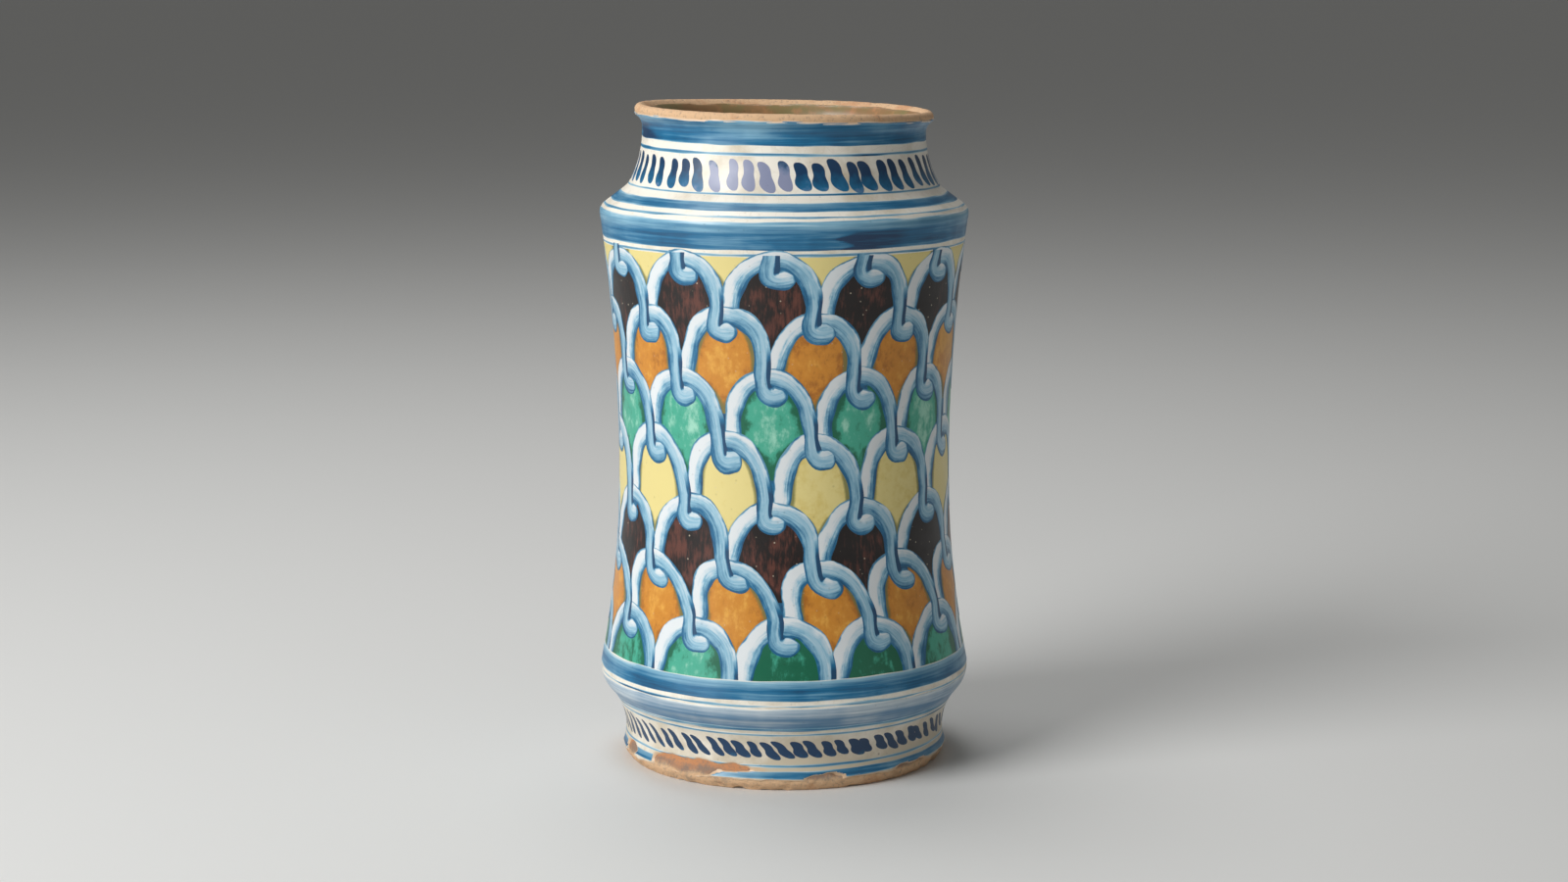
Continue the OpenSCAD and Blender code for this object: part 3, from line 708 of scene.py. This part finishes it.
def unglazed(c):
    """Buff earthenware: matt and porous, with sand grains about 1.5 mm apart, worn paler towards the lip,
    redder where glaze came off it lately, and with old dirt in its pores and turning lines from the wheel on
    its base."""
    def shade(node):
        place = node("TexCoord", out="Object")
        level = node("SeparateXYZ", place, out=2)
        red = node("TexNoise", place, Scale=per(16), Detail=6.0, Roughness=0.65)
        grain = node("TexNoise", place, Scale=per(1.5), Detail=4.0, Roughness=0.7)
        soot = node("TexNoise", place, Scale=per(9), Detail=5.0, Roughness=0.7)
        fresh = node("MapRange", level, 5 * MM, 8 * MM, -0.12, 0.25)
        worn = node("MapRange", level, 40 * MM, 250 * MM, 0.0, 0.37)
        # The clay is drawn darker in its lowest 6 mm, under the foot's widest part
        darker_below = node("MapRange", level, 4 * MM, 6 * MM, 0.0, 0.17)
        clean = node("MapRange", level, 8.5 * MM, 10.5 * MM, 0.0, 0.2)
        for part, share in ((fresh, 1.0), (worn, -1.0)):
            red = node("Math", part, share, red, operation="MULTIPLY_ADD")
        for part, share in ((darker_below, 1.0), (clean, -1.0), (worn, -0.35)):
            soot = node("Math", part, share, soot, operation="MULTIPLY_ADD")
        colour = laid(node, c.clay, (red, 0.42, 0.62, 1.0, c.clay_red), (grain, 0.46, 0.3, 0.7, c.dirt),
                      (soot, 0.52, 0.72, 0.75, c.dirt))
        flat = node("Mapping", place, Scale=(1.0, 1.0, 0.0))
        # A wave node's scale counts rings 20 times
        rings = node("TexWave", flat, Scale=per(3) / 20, Distortion=1.5, Detail=2.0, out="Fac",
                     wave_type="RINGS", rings_direction="SPHERICAL")
        height = node("Math", rings, 0.3, grain, operation="MULTIPLY_ADD")
        bump = node("Bump", Height=height, Strength=0.8, Distance=0.5 * MM)
        return node("BsdfPrincipled", colour, Roughness=0.85, IOR=1.45, Normal=bump)
    return new_finish("earthenware_buff", shade)


# The scale pattern, drawn flat: x to the right and y down from the top of an arch, in metres at the waist

# Middle line of one ribbon and its width, in millimetres: up its left leg, over the arch, down its right
# leg, which crosses the arch below, and round the hook that holds that arch
RIBBON = np.array((
    (-17.4, 31.5, 7.2), (-17.2, 27.0, 7.8), (-16.6, 21.5, 8.4), (-15.4, 16.0, 8.7), (-13.0, 10.8, 8.8),
    (-9.2, 6.6, 8.7), (-4.2, 4.3, 8.5), (0.9, 4.0, 8.4), (6.2, 5.5, 8.5), (10.8, 9.2, 8.4),
    (14.1, 14.3, 8.0), (15.8, 20.0, 7.6), (16.6, 26.0, 7.2), (16.5, 31.0, 7.2), (16.5, 34.6, 7.8),
    (17.3, 37.4, 8.5), (19.6, 38.9, 9.2), (22.4, 38.9, 9.4), (24.8, 38.4, 9.4), (26.8, 37.8, 9.4))) * MM
# Places along it, counted in its points: the top of the arch, the foot of the right leg, both ends of the
# last row's ribbons, and the start of those that come down from the top border
ARCH_TOP, LEG_TURN = 7, 14
FIRST_CUT, LAST_CUT, TOP_CUT = 0.4, 12.6, 11.95
# How far the painter's rows drift round the jar to the right, in degrees, and up, in millimetres, from the
# first row down
DRIFT = np.array(((1, 0), (-0.3, 3.2), (-2, 2.6), (-1.4, 2.4), (0.2, -0.8), (-1.3, -0.6), (3.6, -0.4),
                  (3.5, 0)))


def spline(knots, t):
    """A smooth line through knots, read at places t counted in knots: each stretch is a cubic whose slope at
    a knot is that between the knots on its two sides."""
    i = np.clip(t.astype(int), 0, len(knots) - 2)
    f = (t - i)[:, None]
    p0, p1, p2, p3 = (knots[np.clip(i + k, 0, len(knots) - 1)] for k in (-1, 0, 1, 2))
    return 0.5 * (2 * p1 + (p2 - p0) * f + (2 * p0 - 5 * p1 + 4 * p2 - p3) * f ** 2
                  + (3 * p1 - p0 - 3 * p2 + p3) * f ** 3)


def pattern(s, p):
    """Radius at which the pattern is drawn flat, half the space of a scale, and the pitch of the rows."""
    radius = s.shoulder_r - s.waist_in + s.glaze_t
    return radius, math.pi * radius / p.scales, (p.top_z - p.foot_z) / p.rows


def placed(s, p, row, x, y):
    """Angles and heights of places of the flat pattern at a row's arches: every other row is turned by half
    a scale, and all of it is moved as far as the rows drift at that height, scaled by the hand's
    straying."""
    radius, _, pitch = pattern(s, p)
    arch = p.turn + (np.arange(p.scales) + (0.5 if row % 2 == 0 else 0.0)) * TURN / p.scales
    a = arch[:, None, None] + x / radius
    z = np.broadcast_to(p.top_z - (row - 1) * pitch - y, a.shape)
    levels = np.linspace(p.top_z, p.foot_z, len(DRIFT))[::-1]
    turn, lift = (p.hand * np.interp(z, levels, part[::-1]) for part in DRIFT.T)
    return a + np.radians(turn), z + lift * MM


def strays(p, row):
    """Where the painter's hand put each arch of a row: shifts to the right and down, in metres, its stretch,
    and how fat its ribbon is."""
    rng = np.random.default_rng(ARCH_SEED + row)
    right, down, stretch, fat = rng.normal(0, 1, (p.scales, 4)).clip(-1.8, 1.8).T * p.hand
    return right * 0.6 * MM, down * 0.7 * MM, 1 + 0.03 * stretch, 1 + 0.05 * fat


def spread(shape, *parts):
    """The numbers of a mark, each spread over its grid."""
    return np.stack([np.broadcast_to(part, shape) for part in parts], -1)


def ribbon_grid(s, p, row, first, last, steps, columns=9):
    """Grids of one row's ribbons from one place along them to another: the middle line, widened to both
    sides by half its width, which rounds off at the hook's tip. Gives angles, heights, rises and brush
    marks."""
    # Ten closer steps towards the hook's round tip
    tip, closer = 1.6, np.sin(np.linspace(0, math.pi / 2, 11)[1:])
    t = np.concatenate((np.linspace(first, last - tip, steps - len(closer)), last - tip * (1 - closer)))
    line = spline(RIBBON, t)
    right, down, stretch, fat = (part[:, None] for part in strays(p, row))
    rng = np.random.default_rng(PRESS_SEED + row)
    phase = rng.uniform(0, TURN, (2, p.scales, 1))
    sway = 0.35 * MM * p.hand
    x = right + stretch * line[:, 0] + sway * np.sin(0.9 * t + phase[0])
    y = down + line[:, 1] + sway * np.sin(0.8 * t + phase[1])
    run = np.gradient(x, axis=1), np.gradient(y, axis=1)
    pace = np.hypot(*run)
    gone = np.cumsum(pace, axis=1) - pace[:, :1]
    left = gone[:, -1:] - gone
    press = 1 + p.hand * (0.06 * np.sin(1.7 * t + phase[0]) + 0.04 * np.sin(2.9 * t + 2 * phase[1]))
    half = fat * press * line[:, 2] / 2
    hooked = last > LAST_CUT
    if hooked:
        half = half * np.sqrt(np.clip(1 - np.clip(1 - left / (1.2 * half), 0, 1) ** 2, TIP, 1))
    # On the inner side of a bend the ribbon reaches no further than the bend's centre
    out_x, out_y = run[1] / pace, -run[0] / pace
    bend = np.gradient(out_x, axis=1) * run[0] + np.gradient(out_y, axis=1) * run[1]
    reach = 0.9 * pace ** 2 / np.maximum(np.abs(bend), 1e-12)
    v = across(columns)
    own_half = np.where(v * bend[..., None] > 0, np.minimum(half, reach)[..., None], half[..., None])
    off = own_half * v
    a, z = placed(s, p, row, x[..., None] - out_x[..., None] * off, y[..., None] - out_y[..., None] * off)
    edge = own_half - np.abs(off)
    if hooked:
        edge = np.minimum(edge, left[..., None])
    own = rng.uniform(-1, 1, (p.scales, 1, 1))
    far = np.broadcast_to(t[:, None] / (len(RIBBON) - 1), a.shape)
    rise = RIBBON_LOW + (RIBBON_HIGH - RIBBON_LOW) * far
    return a, z, rise, spread(a.shape, gone[..., None], off, edge), spread(a.shape, own, far, own)


def field_grid(s, p, row, steps=22, columns=16):
    """Grids of one row's fields, which end under the middle lines of the ribbons round them: their own arch
    above and the next row's two arches below. Gives angles, heights, rises and brush marks."""
    _, half_step, pitch = pattern(s, p)
    left_leg, right_leg = (spline(RIBBON, np.linspace(ARCH_TOP, end, 80)) for end in (0, LEG_TURN))
    # From under the arch to where the arches below meet, but not past the top and the foot of the pattern
    top = 5.6 * MM if row else pitch + 0.6 * MM
    tip = 47.5 * MM if row < p.rows else pitch + 2.0 * MM
    v = across(columns)
    y = top + (tip - top) * np.linspace(0, 1, steps)[:, None] + 0 * v
    low_left = np.interp(y - pitch, right_leg[:, 1], right_leg[:, 0]) - half_step
    low_right = np.interp(y - pitch, left_leg[:, 1], left_leg[:, 0]) + half_step
    right, _, stretch, _ = (part[:, None, None] for part in strays(p, row))
    inset = 0.8 * MM
    start = np.maximum(right + stretch * np.interp(y, left_leg[:, 1], left_leg[:, 0]), low_left) + inset
    end = np.minimum(right + stretch * np.interp(y, right_leg[:, 1], right_leg[:, 0]), low_right) - inset
    x = start + (end - start) * (v + 1) / 2
    # The part that shows starts where the ribbons at the sides and the arch end
    side, arch = 3.5 * MM, 8.0 * MM
    edge = np.minimum(np.minimum(x - start, end - x) - side, y - arch if row else y)
    a, z = placed(s, p, row, x, y)
    # The last row was painted with a fuller brush
    fuller = 1.5 if row == p.rows else 0.0
    own = np.random.default_rng(TONE_SEED + row).uniform(-1, 1, (p.scales, 1, 1)) - fuller
    return a, z, np.full(a.shape, FIELD_RISE), spread(a.shape, x, y, edge), spread(a.shape, own, own, own)


def eye_grid(s, p, row, steps=9, columns=9):
    """Grids of the dark eyes that the hooks leave open under one row's arches: rounded patches from under
    the arch to under the hook. Gives angles, heights, rises and blank brush marks."""
    u, v = np.meshgrid(across(steps), across(columns), indexing="ij")
    # A square bent into a round patch
    size = 3.0 * MM
    x = 0.9 * MM + size * v * np.sqrt(1 - u ** 2 / 2)
    y = 8.6 * MM + size * u * np.sqrt(1 - v ** 2 / 2)
    a, z = placed(s, p, row, 0.5 * strays(p, row)[0][:, None, None] + x, y)
    blank = spread(a.shape, 0.0, 0.0, 0.0)
    return a, z, np.full(a.shape, EYE_RISE), blank, blank


def stroke_grid(p, count, level, tall, wide, lean, radius, seed, dry, slim, steps=18, columns=9):
    """Grids of short leaning brush strokes round the jar: thinner at the top, narrower in the middle and fat
    near the bottom, with round ends. They are fattest a little right of the front, and away from it longer
    and thinner by a share slim. Gives angles, heights, rises and brush marks, whose second number runs from
    0 at the top to 1."""
    a0 = np.arange(count)[:, None, None] * TURN / count
    draw = np.random.default_rng(seed).normal(0, 1, (5, count, 1, 1)).clip(-2, 2) * p.hand
    facing = np.cos(a0 - 0.35)
    away = slim * (1 - facing)
    fat = (1 + 0.32 * facing ** 3 + 0.1 * draw[0]) / (1 + away)
    t = (1 - np.cos(np.linspace(0, np.pi, steps)))[:, None] / 2
    ends = np.sqrt(np.clip(1 - np.abs(2 * t - 1) ** 4, TIP, 1))
    belly = ends * (0.90 + 0.10 * np.cos(TURN * (t - 0.8))) * (1 - 0.15 * np.exp(-((t - 0.46) / 0.14) ** 2))
    v = across(columns)
    size = tall * (1 + 0.06 * draw[1] + away)
    slope = np.tan(lean + 0.09 * draw[2])
    bow = (t - 0.5) * slope + 0.04 * np.sin(TURN * t)
    x = size * bow + wide / 2 * fat * belly * v + 0.5 * MM * draw[3]
    a = a0 + x / radius
    z = np.broadcast_to(level + (0.5 - t) * size + 0.35 * MM * draw[4], a.shape)
    dryness = np.broadcast_to(dry(a0)[..., None], a.shape + (3,))
    brush = spread(a.shape, v * wide / 2, t, wide / 2 * fat * (1 - np.abs(v)))
    return a, z, np.full(a.shape, BAND_RISE), brush, dryness


def band_grid(bands, seed, rise, rounds=330, columns=22):
    """Grids of rings round the jar between two heights, in millimetres, whose edges stray by the third
    number. The fourth is the angle in degrees where the brush was set down: it leaves a dark start that
    fades to the right. Gives angles, heights, rises and brush marks."""
    line = np.linspace(0, TURN, rounds, endpoint=False)[:, None]
    v = across(columns)
    low, high, stray = np.array(bands).T[:3, :, None, None] * MM
    edges = np.stack([wander(line, seed + i, (1, 2, 3, 5, 9, 14, 22)) for i in range(2 * len(bands))])
    low, high = low + stray * edges[::2], high + stray * edges[1::2]
    z = low + (high - low) * (v + 1) / 2
    a = np.broadcast_to(line, z.shape)
    after = past(a, np.array(bands)[:, 3, None, None] + 2.5 * np.sin(7 * v))
    start = np.exp(-(after / np.radians(np.where(after < 0, 1.5, 14))) ** 2) * step_up(0.1 - v, 0.8)
    brush = spread(z.shape, z, v * MM, (high - low) / 2 * (1 - np.abs(v)))
    return a, z, np.full(z.shape, rise), brush, spread(z.shape, start, start, start)


def painted(name, s, grids, finish, slot, *nodes, ring=False):
    """One piece from the grids of its brush marks, which hold for the underside too."""
    parts, done = [], 0
    for a, z, rise, brush, tone in grids:
        points, faces = coats(s, a, z, rise, ring)
        both = (np.stack((mark, mark), 1) for mark in (brush, tone))
        points, brush, tone = (part.reshape(-1, 3) for part in (points, *both))
        parts.append((points, faces + done, brush, tone))
        done += len(points)
    points, faces, brush, tone = map(np.concatenate, zip(*parts))
    new_piece(name, points, faces, finish, slot, nodes, brush=brush, tone=tone)


class JarOperator:
    """What the jar's operators share: the settings, and a place in the undo list."""
    bl_options = {"REGISTER", "UNDO"}

    def settings(self, context):
        """Sizes of the jar, sizes of the pattern, and colours."""
        scene = context.scene
        return scene.albarello_sizes, scene.albarello_pattern, scene.albarello_colours


class ALBARELLO_OT_clay(JarOperator, Operator):
    """Throw the jar's clay, with its worn lip, its chipped foot and the hollow in its base"""
    bl_idname = "albarello.clay"
    bl_label = "Clay"

    def execute(self, context):
        s, _, c = self.settings(context)
        outside, lip, inside = sections(s)
        base_r = s.shoulder_r - s.foot_in - s.base_in
        ring_r = base_r - s.ring_w
        down, up = (0.0, -1.0), (0.0, 1.0)
        base = np.array(((0, s.recess, *down), (ring_r - s.recess, s.recess, *down), (ring_r, 0, *down),
                         (base_r, 0, *down)))
        floor = np.array(((0, s.recess + s.floor_t, *up),))
        line = np.vstack((base, outside[outside[:, 1] < lip[0, 1]], lip, inside, floor))
        # Fine where clay shows at the foot's edge and the lip, coarse under the glazes and on the base
        fine, coarse, coarsest = 0.6 * MM, 3 * MM, 4 * MM
        shows = (line[:, 1] < 13 * MM) & (line[:, 0] > base_r - 4 * MM) | (line[:, 1] > s.height - 7 * MM)
        hidden = np.arange(len(line)) >= len(line) - len(inside) - 1
        line = spaced(line, np.where(shows, fine, np.where(hidden, coarsest, coarse)))
        a = angles(360, front=0.4)
        r, z = line[:, 0], line[:, 1]
        at_lip = step_up(z - s.height + 3.2 * MM, 3 * MM)
        at_foot = step_up(9 * MM - z, 5 * MM) * step_up(r - base_r + 1.5 * MM, 2 * MM)
        rough = ragged(a, z, seed=21, grain=5 * MM)
        chips = np.clip(ragged(a, z, seed=22, grain=11 * MM) - 0.55, 0, 1)
        rise = at_lip * (0.04 * rough - 0.15 * chips) * MM + at_foot * (0.16 * rough - 1.1 * chips) * MM
        points, faces = revolved(s, line, np.minimum(rise, 0.1 * MM), a, closed=False)
        # Nothing stands below the floor that the jar rests on
        points[..., 2] = np.maximum(points[..., 2], 0)
        new_piece("jar_clay", points, faces, unglazed(c), "clay", ("clay_body",))
        return {"FINISHED"}


class ALBARELLO_OT_lining(JarOperator, Operator):
    """Wipe the thin glaze round the inside of the jar"""
    bl_idname = "albarello.lining"
    bl_label = "Lining glaze"

    def execute(self, context):
        s, _, c = self.settings(context)
        line = np.vstack((sections(s)[2], ((0, s.recess + s.floor_t, 0.0, 1.0),)))
        fine, coarse = 0.8 * MM, 2.5 * MM
        line = spaced(line, np.where(line[:, 1] > s.height - 12 * MM, fine, coarse))
        a = angles(300)
        edge = s.height - 1.6 * MM + 0.4 * MM * wander(a, seed=31, waves=(2, 5, 11, 19))
        gone = step_up(line[:, 1] - edge, 1.2 * MM)
        # Out from the floor's middle to the lip over the glaze, and back inside the clay
        rise = (s.lining_t * (1 - gone) - LOST * gone)[:, ::-1]
        rise = np.hstack((rise, np.full((len(a), len(line) - 1), -BURIED)))
        points, faces = revolved(s, np.vstack((line[::-1], line[1:])), rise, a, closed=False)
        new_piece("jar_lining", points, faces, thin_lining(c), "lining_glaze", ("inner_glaze",))
        return {"FINISHED"}


class ALBARELLO_OT_glaze(JarOperator, Operator):
    """Dip the outside in white tin glaze, which has flaked off at the foot and worn off the lip"""
    bl_idname = "albarello.glaze"
    bl_label = "White glaze"

    def execute(self, context):
        s, _, c = self.settings(context)
        outside = sections(s)[0]
        outside = outside[outside[:, 1] > s.foot_z - 1.5 * MM]
        z = outside[:, 1]
        # Fine at the worn edges at foot and lip, and coarsest on the back, which nobody sees
        fine, coarse, coarsest = 0.55 * MM, 2.6 * MM, 9 * MM
        edges = (z < 15 * MM) | (z > s.height - 13 * MM)
        front = spaced(outside, np.where(edges, fine, coarse))
        back = spaced(outside, np.full(len(outside), coarsest))[-2:0:-1]
        a = angles(520, front=0.5)
        inside = glazed(s, a, front[:, 1])
        rise = glaze_rise(s, inside)
        rise[:, (0, -1)] = -LOST
        rise, inside = (np.hstack((part, np.full((len(a), len(back)), -BURIED))) for part in (rise, inside))
        points, faces = revolved(s, np.vstack((front, back)), rise, a, closed=True)
        new_piece("white_glaze", points, faces, white_glaze(c), "white_glaze", ("outer_glaze",),
                  brush=np.repeat(inside[..., None], 3, -1))
        return {"FINISHED"}


class ALBARELLO_OT_bands(JarOperator, Operator):
    """Band the jar with blue while it turns on the wheel"""
    bl_idname = "albarello.bands"
    bl_label = "Bands and lines"

    def execute(self, context):
        s, p, c = self.settings(context)
        tones = c.pale_blue, c.cobalt, c.navy
        blue = banded("cobalt_band", c, tones, mean=0.66, lifted=0.12)
        lifted = banded("cobalt_band_lifted", c, tones, mean=0.69, lifted=0.40)
        line = banded("cobalt_line", c, tones, mean=0.56, lifted=0.1)
        pale = banded("cobalt_wash_band", c, (c.worn_blue, c.grey_blue, c.cobalt), mean=0.66, lifted=0.28)
        top = p.top_z / MM
        # Low and high edge in millimetres, how far they stray, and the angle where the brush was set down,
        # in degrees. The belly's band is laid over the foot of the scales
        for name, node, finish, rise, *bands in (
                ("neck_band", "neck_bands", blue, BAND_RISE, (286.3, 297.8, 0.3, -80)),
                ("neck_line", "neck_bands", line, BAND_RISE, (281.8, 283.2, 0.15, 30),
                 (265.0, 266.1, 0.15, 200)),
                ("ledge_band", "shoulder_bands", blue, BAND_RISE, (258.8, 262.4, 0.15, 110)),
                ("shoulder_line", "shoulder_bands", line, BAND_RISE, (256.3, 257.0, 0.2, 75),
                 (top - 0.7, top + 0.5, 0.2, 250)),
                ("shoulder_band", "shoulder_bands", lifted, BAND_RISE, (242.9, 255.2, 0.3, 20)),
                ("belly_band", "lower_bands", lifted, OVER_RISE, (43.9, 52.8, 0.25, 160)),
                ("wash_band", "lower_bands", pale, BAND_RISE, (28.8, 40.7, 0.35, 210)),
                ("foot_line", "lower_bands", line, FIELD_RISE, (26.3, 27.5, 0.15, 60),
                 (10.9, 12.1, 0.2, 140), (41.3, 42.3, 0.3, -60), (29.0, 30.6, 0.35, 90)),
                ("foot_band", "foot_band", blue, BAND_RISE, (5.6, 9.0, 0.25, 120))):
            slot = "pale_blue_paint" if finish == pale else "blue_paint"
            # More points across a broader band
            columns = 7 + round(1.3 * max(high - low for low, high, _, _ in bands))
            grid = band_grid(bands, seed=len(bands) * 11, rise=rise, columns=columns)
            painted(name + "_paint", s, (grid,), finish, slot, node, ring=True)
        return {"FINISHED"}


class ALBARELLO_OT_strokes(JarOperator, Operator):
    """Set the rows of short strokes round the neck and the foot"""
    bl_idname = "albarello.strokes"
    bl_label = "Brush strokes"

    def execute(self, context):
        s, p, c = self.settings(context)
        finish = stroked(c)

        def drying(a):
            """The brush ran dry a little left of the front, and in one other place at the back."""
            front, back = past(a, -14) / math.radians(16), past(a, 170) / math.radians(22)
            return 0.95 * np.exp(-front ** 6) + 0.7 * np.exp(-back ** 4)

        def loaded(a):
            """At the foot the brush was full."""
            return np.full(a.shape, -0.6)

        neck = stroke_grid(p, p.neck_strokes, level=273.4 * MM, tall=13.6 * MM, wide=5.7 * MM,
                           lean=p.lean, radius=68 * MM, seed=41, dry=drying, slim=0.0)
        foot = stroke_grid(p, p.foot_strokes, level=19.2 * MM, tall=8.2 * MM, wide=5.0 * MM,
                           lean=2.4 * p.lean, radius=75 * MM, seed=43, dry=loaded, slim=0.3)
        painted("neck_stroke_paint", s, (neck,), finish, "dark_blue_paint", "neck_strokes")
        painted("foot_stroke_paint", s, (foot,), finish, "dark_blue_paint", "foot_strokes")
        return {"FINISHED"}


class ALBARELLO_OT_ground(JarOperator, Operator):
    """Fill the gaps between the ribbons with dark blue"""
    bl_idname = "albarello.ground"
    bl_label = "Gaps of the scale pattern"

    def execute(self, context):
        s, p, c = self.settings(context)
        finish = between(c)
        ring = p.foot_z / MM - 1.5, p.top_z / MM - 1.2, 0.15, 0
        grid = band_grid((ring,), seed=60, rise=GROUND_RISE, rounds=420, columns=96)
        painted("scale_gap_paint", s, (grid,), finish, "dark_blue_paint", ring=True)
        eyes = [eye_grid(s, p, row) for row in range(1, p.rows + 1)]
        painted("hook_eye_paint", s, eyes, finish, "dark_blue_paint")
        return {"FINISHED"}


class ALBARELLO_OT_fields(JarOperator, Operator):
    """Fill the scales in with brown, orange, green and yellow, row by row"""
    bl_idname = "albarello.fields"
    bl_label = "Coloured fields"

    def execute(self, context):
        s, p, c = self.settings(context)
        brown = filled("manganese_brown", c, (c.brown, c.brown, c.brown_red, c.brown),
                       grain=0.22, pools=0.5, brushed=0.93, specks=0.7, hairs=1.6)
        orange = filled("iron_orange", c, (c.orange, c.orange_deep, c.pale_orange, c.olive),
                        grain=0.7, pools=0.32, brushed=0.9, gather=0.14, specks=0.3)
        green = filled("copper_green", c, (c.green, c.green_deep, c.pale_green, c.green_deep),
                       grain=0.6, pools=0.3, brushed=0.95, gather=0.22)
        yellow = filled("antimony_yellow", c, (c.yellow, c.yellow_deep, c.yellow, c.olive),
                        grain=1.0, pools=0.5, gather=0.08, specks=0.2)
        # Each colour comes back after four rows
        for name, first, finish in (("brown", 1, brown), ("orange", 2, orange), ("green", 3, green),
                                    ("yellow", 0, yellow)):
            rows = [field_grid(s, p, row) for row in range(first, p.rows + 1, 4)]
            painted(name + "_field_paint", s, rows, finish, name + "_paint", name + "_fields")
        return {"FINISHED"}


class ALBARELLO_OT_ribbons(JarOperator, Operator):
    """Draw the interlaced ribbons, each rising along its length from under one neighbour to over another"""
    bl_idname = "albarello.ribbons"
    bl_label = "Ribbons"

    def execute(self, context):
        s, p, c = self.settings(context)
        end = len(RIBBON) - 1
        grids = [ribbon_grid(s, p, 0, TOP_CUT, end, steps=28)]
        grids += [ribbon_grid(s, p, row, 0, end, steps=58) for row in range(1, p.rows)]
        grids.append(ribbon_grid(s, p, p.rows, FIRST_CUT, LAST_CUT, steps=40))
        painted("ribbon_paint", s, grids, outlined(c), "pale_blue_paint", "scale_ribbons")
        return {"FINISHED"}


class ALBARELLO_OT_stage(JarOperator, Operator):
    """Set the jar on a plain pale floor under soft studio light, before a camera at eye level"""
    bl_idname = "albarello.stage"
    bl_label = "Floor, light and camera"

    def execute(self, context):
        c = self.settings(context)[2]
        scene = context.scene
        scene.view_settings.view_transform = "Standard"
        # A round floor, as rings about the jar that stand closer near it. Its radius is in metres
        spokes, rings, reach = 96, 30, 45
        r, a = np.meshgrid(np.linspace(0, 1, rings) ** 3 * reach, angles(spokes))
        points = np.stack((r * np.sin(a), -r * np.cos(a), np.zeros_like(r)), -1).reshape(-1, 3)
        mesh = bpy.data.meshes.new("floor")
        mesh.from_pydata(points.tolist(), [], quads(spokes, rings, round_rows=True)[:, ::-1].tolist())
        pale = partial(matt_paint, colour=c.floor)
        mesh.materials.append(new_finish("studio_floor", pale))
        floor = bpy.data.objects.new("floor", mesh)
        scene.collection.objects.link(floor)
        scene.world = bpy.data.worlds.new("studio")
        scene.world.use_nodes = True
        background = scene.world.node_tree.nodes["Background"]
        background.inputs["Color"].default_value = rgba(c.floor)
        background.inputs["Strength"].default_value = 0.2
        # The lamps stand in metres and shine in watts, all towards the jar's middle
        middle = Vector((0, 0, 0.15))
        for name, spot, size, power in (("key", (-1.7, -1.3, 1.3), 1.5, 58.0),
                                        ("fill", (1.7, -1.3, 0.7), 1.4, 1.2),
                                        ("top", (-0.3, 0.6, 2.0), 1.2, 14.0)):
            lamp = bpy.data.lights.new(name, "AREA")
            lamp.shape, lamp.size, lamp.energy = "DISK", size, power
            light = bpy.data.objects.new(name, lamp)
            light.location = spot
            light.rotation_euler = (middle - Vector(spot)).to_track_quat("-Z", "Y").to_euler()
            scene.collection.objects.link(light)
        # The eye stands a little above the lip and looks down, at an angle in degrees
        eye, down = (0.0, -1.352, 0.3702), 9.4
        view = bpy.data.cameras.new("camera")
        view.sensor_width, view.lens = 36.0, 67.9
        camera = bpy.data.objects.new("camera", view)
        camera.location = eye
        camera.rotation_euler = (math.radians(90 - down), 0.0, 0.0)
        scene.collection.objects.link(camera)
        scene.camera = camera
        return {"FINISHED"}


BUILDERS = (ALBARELLO_OT_stage, ALBARELLO_OT_clay, ALBARELLO_OT_lining, ALBARELLO_OT_glaze,
            ALBARELLO_OT_bands, ALBARELLO_OT_strokes, ALBARELLO_OT_ground, ALBARELLO_OT_fields,
            ALBARELLO_OT_ribbons)


class ALBARELLO_PT_sidebar(Panel):
    """The jar's settings and the steps that make it"""
    bl_idname = "ALBARELLO_PT_sidebar"
    bl_label = "Albarello"
    bl_space_type = "VIEW_3D"
    bl_region_type = "UI"
    bl_category = "Albarello"

    def draw(self, context):
        for group in (context.scene.albarello_sizes, context.scene.albarello_pattern,
                      context.scene.albarello_colours):
            box = self.layout.box()
            for name in group.__annotations__:
                box.prop(group, name)
        for builder in BUILDERS:
            self.layout.operator(builder.bl_idname)


CLASSES = (JarSizes, PatternSizes, JarColours, *BUILDERS, ALBARELLO_PT_sidebar)


def register():
    for cls in CLASSES:
        bpy.utils.register_class(cls)
    bpy.types.Scene.albarello_sizes = PointerProperty(type=JarSizes)
    bpy.types.Scene.albarello_pattern = PointerProperty(type=PatternSizes)
    bpy.types.Scene.albarello_colours = PointerProperty(type=JarColours)


def unregister():
    scene = bpy.types.Scene
    del scene.albarello_sizes, scene.albarello_pattern, scene.albarello_colours
    for cls in reversed(CLASSES):
        bpy.utils.unregister_class(cls)


def main():
    register()
    for builder in BUILDERS:
        group, step = builder.bl_idname.split(".")
        getattr(getattr(bpy.ops, group), step)()


if __name__ == "__main__":
    main()
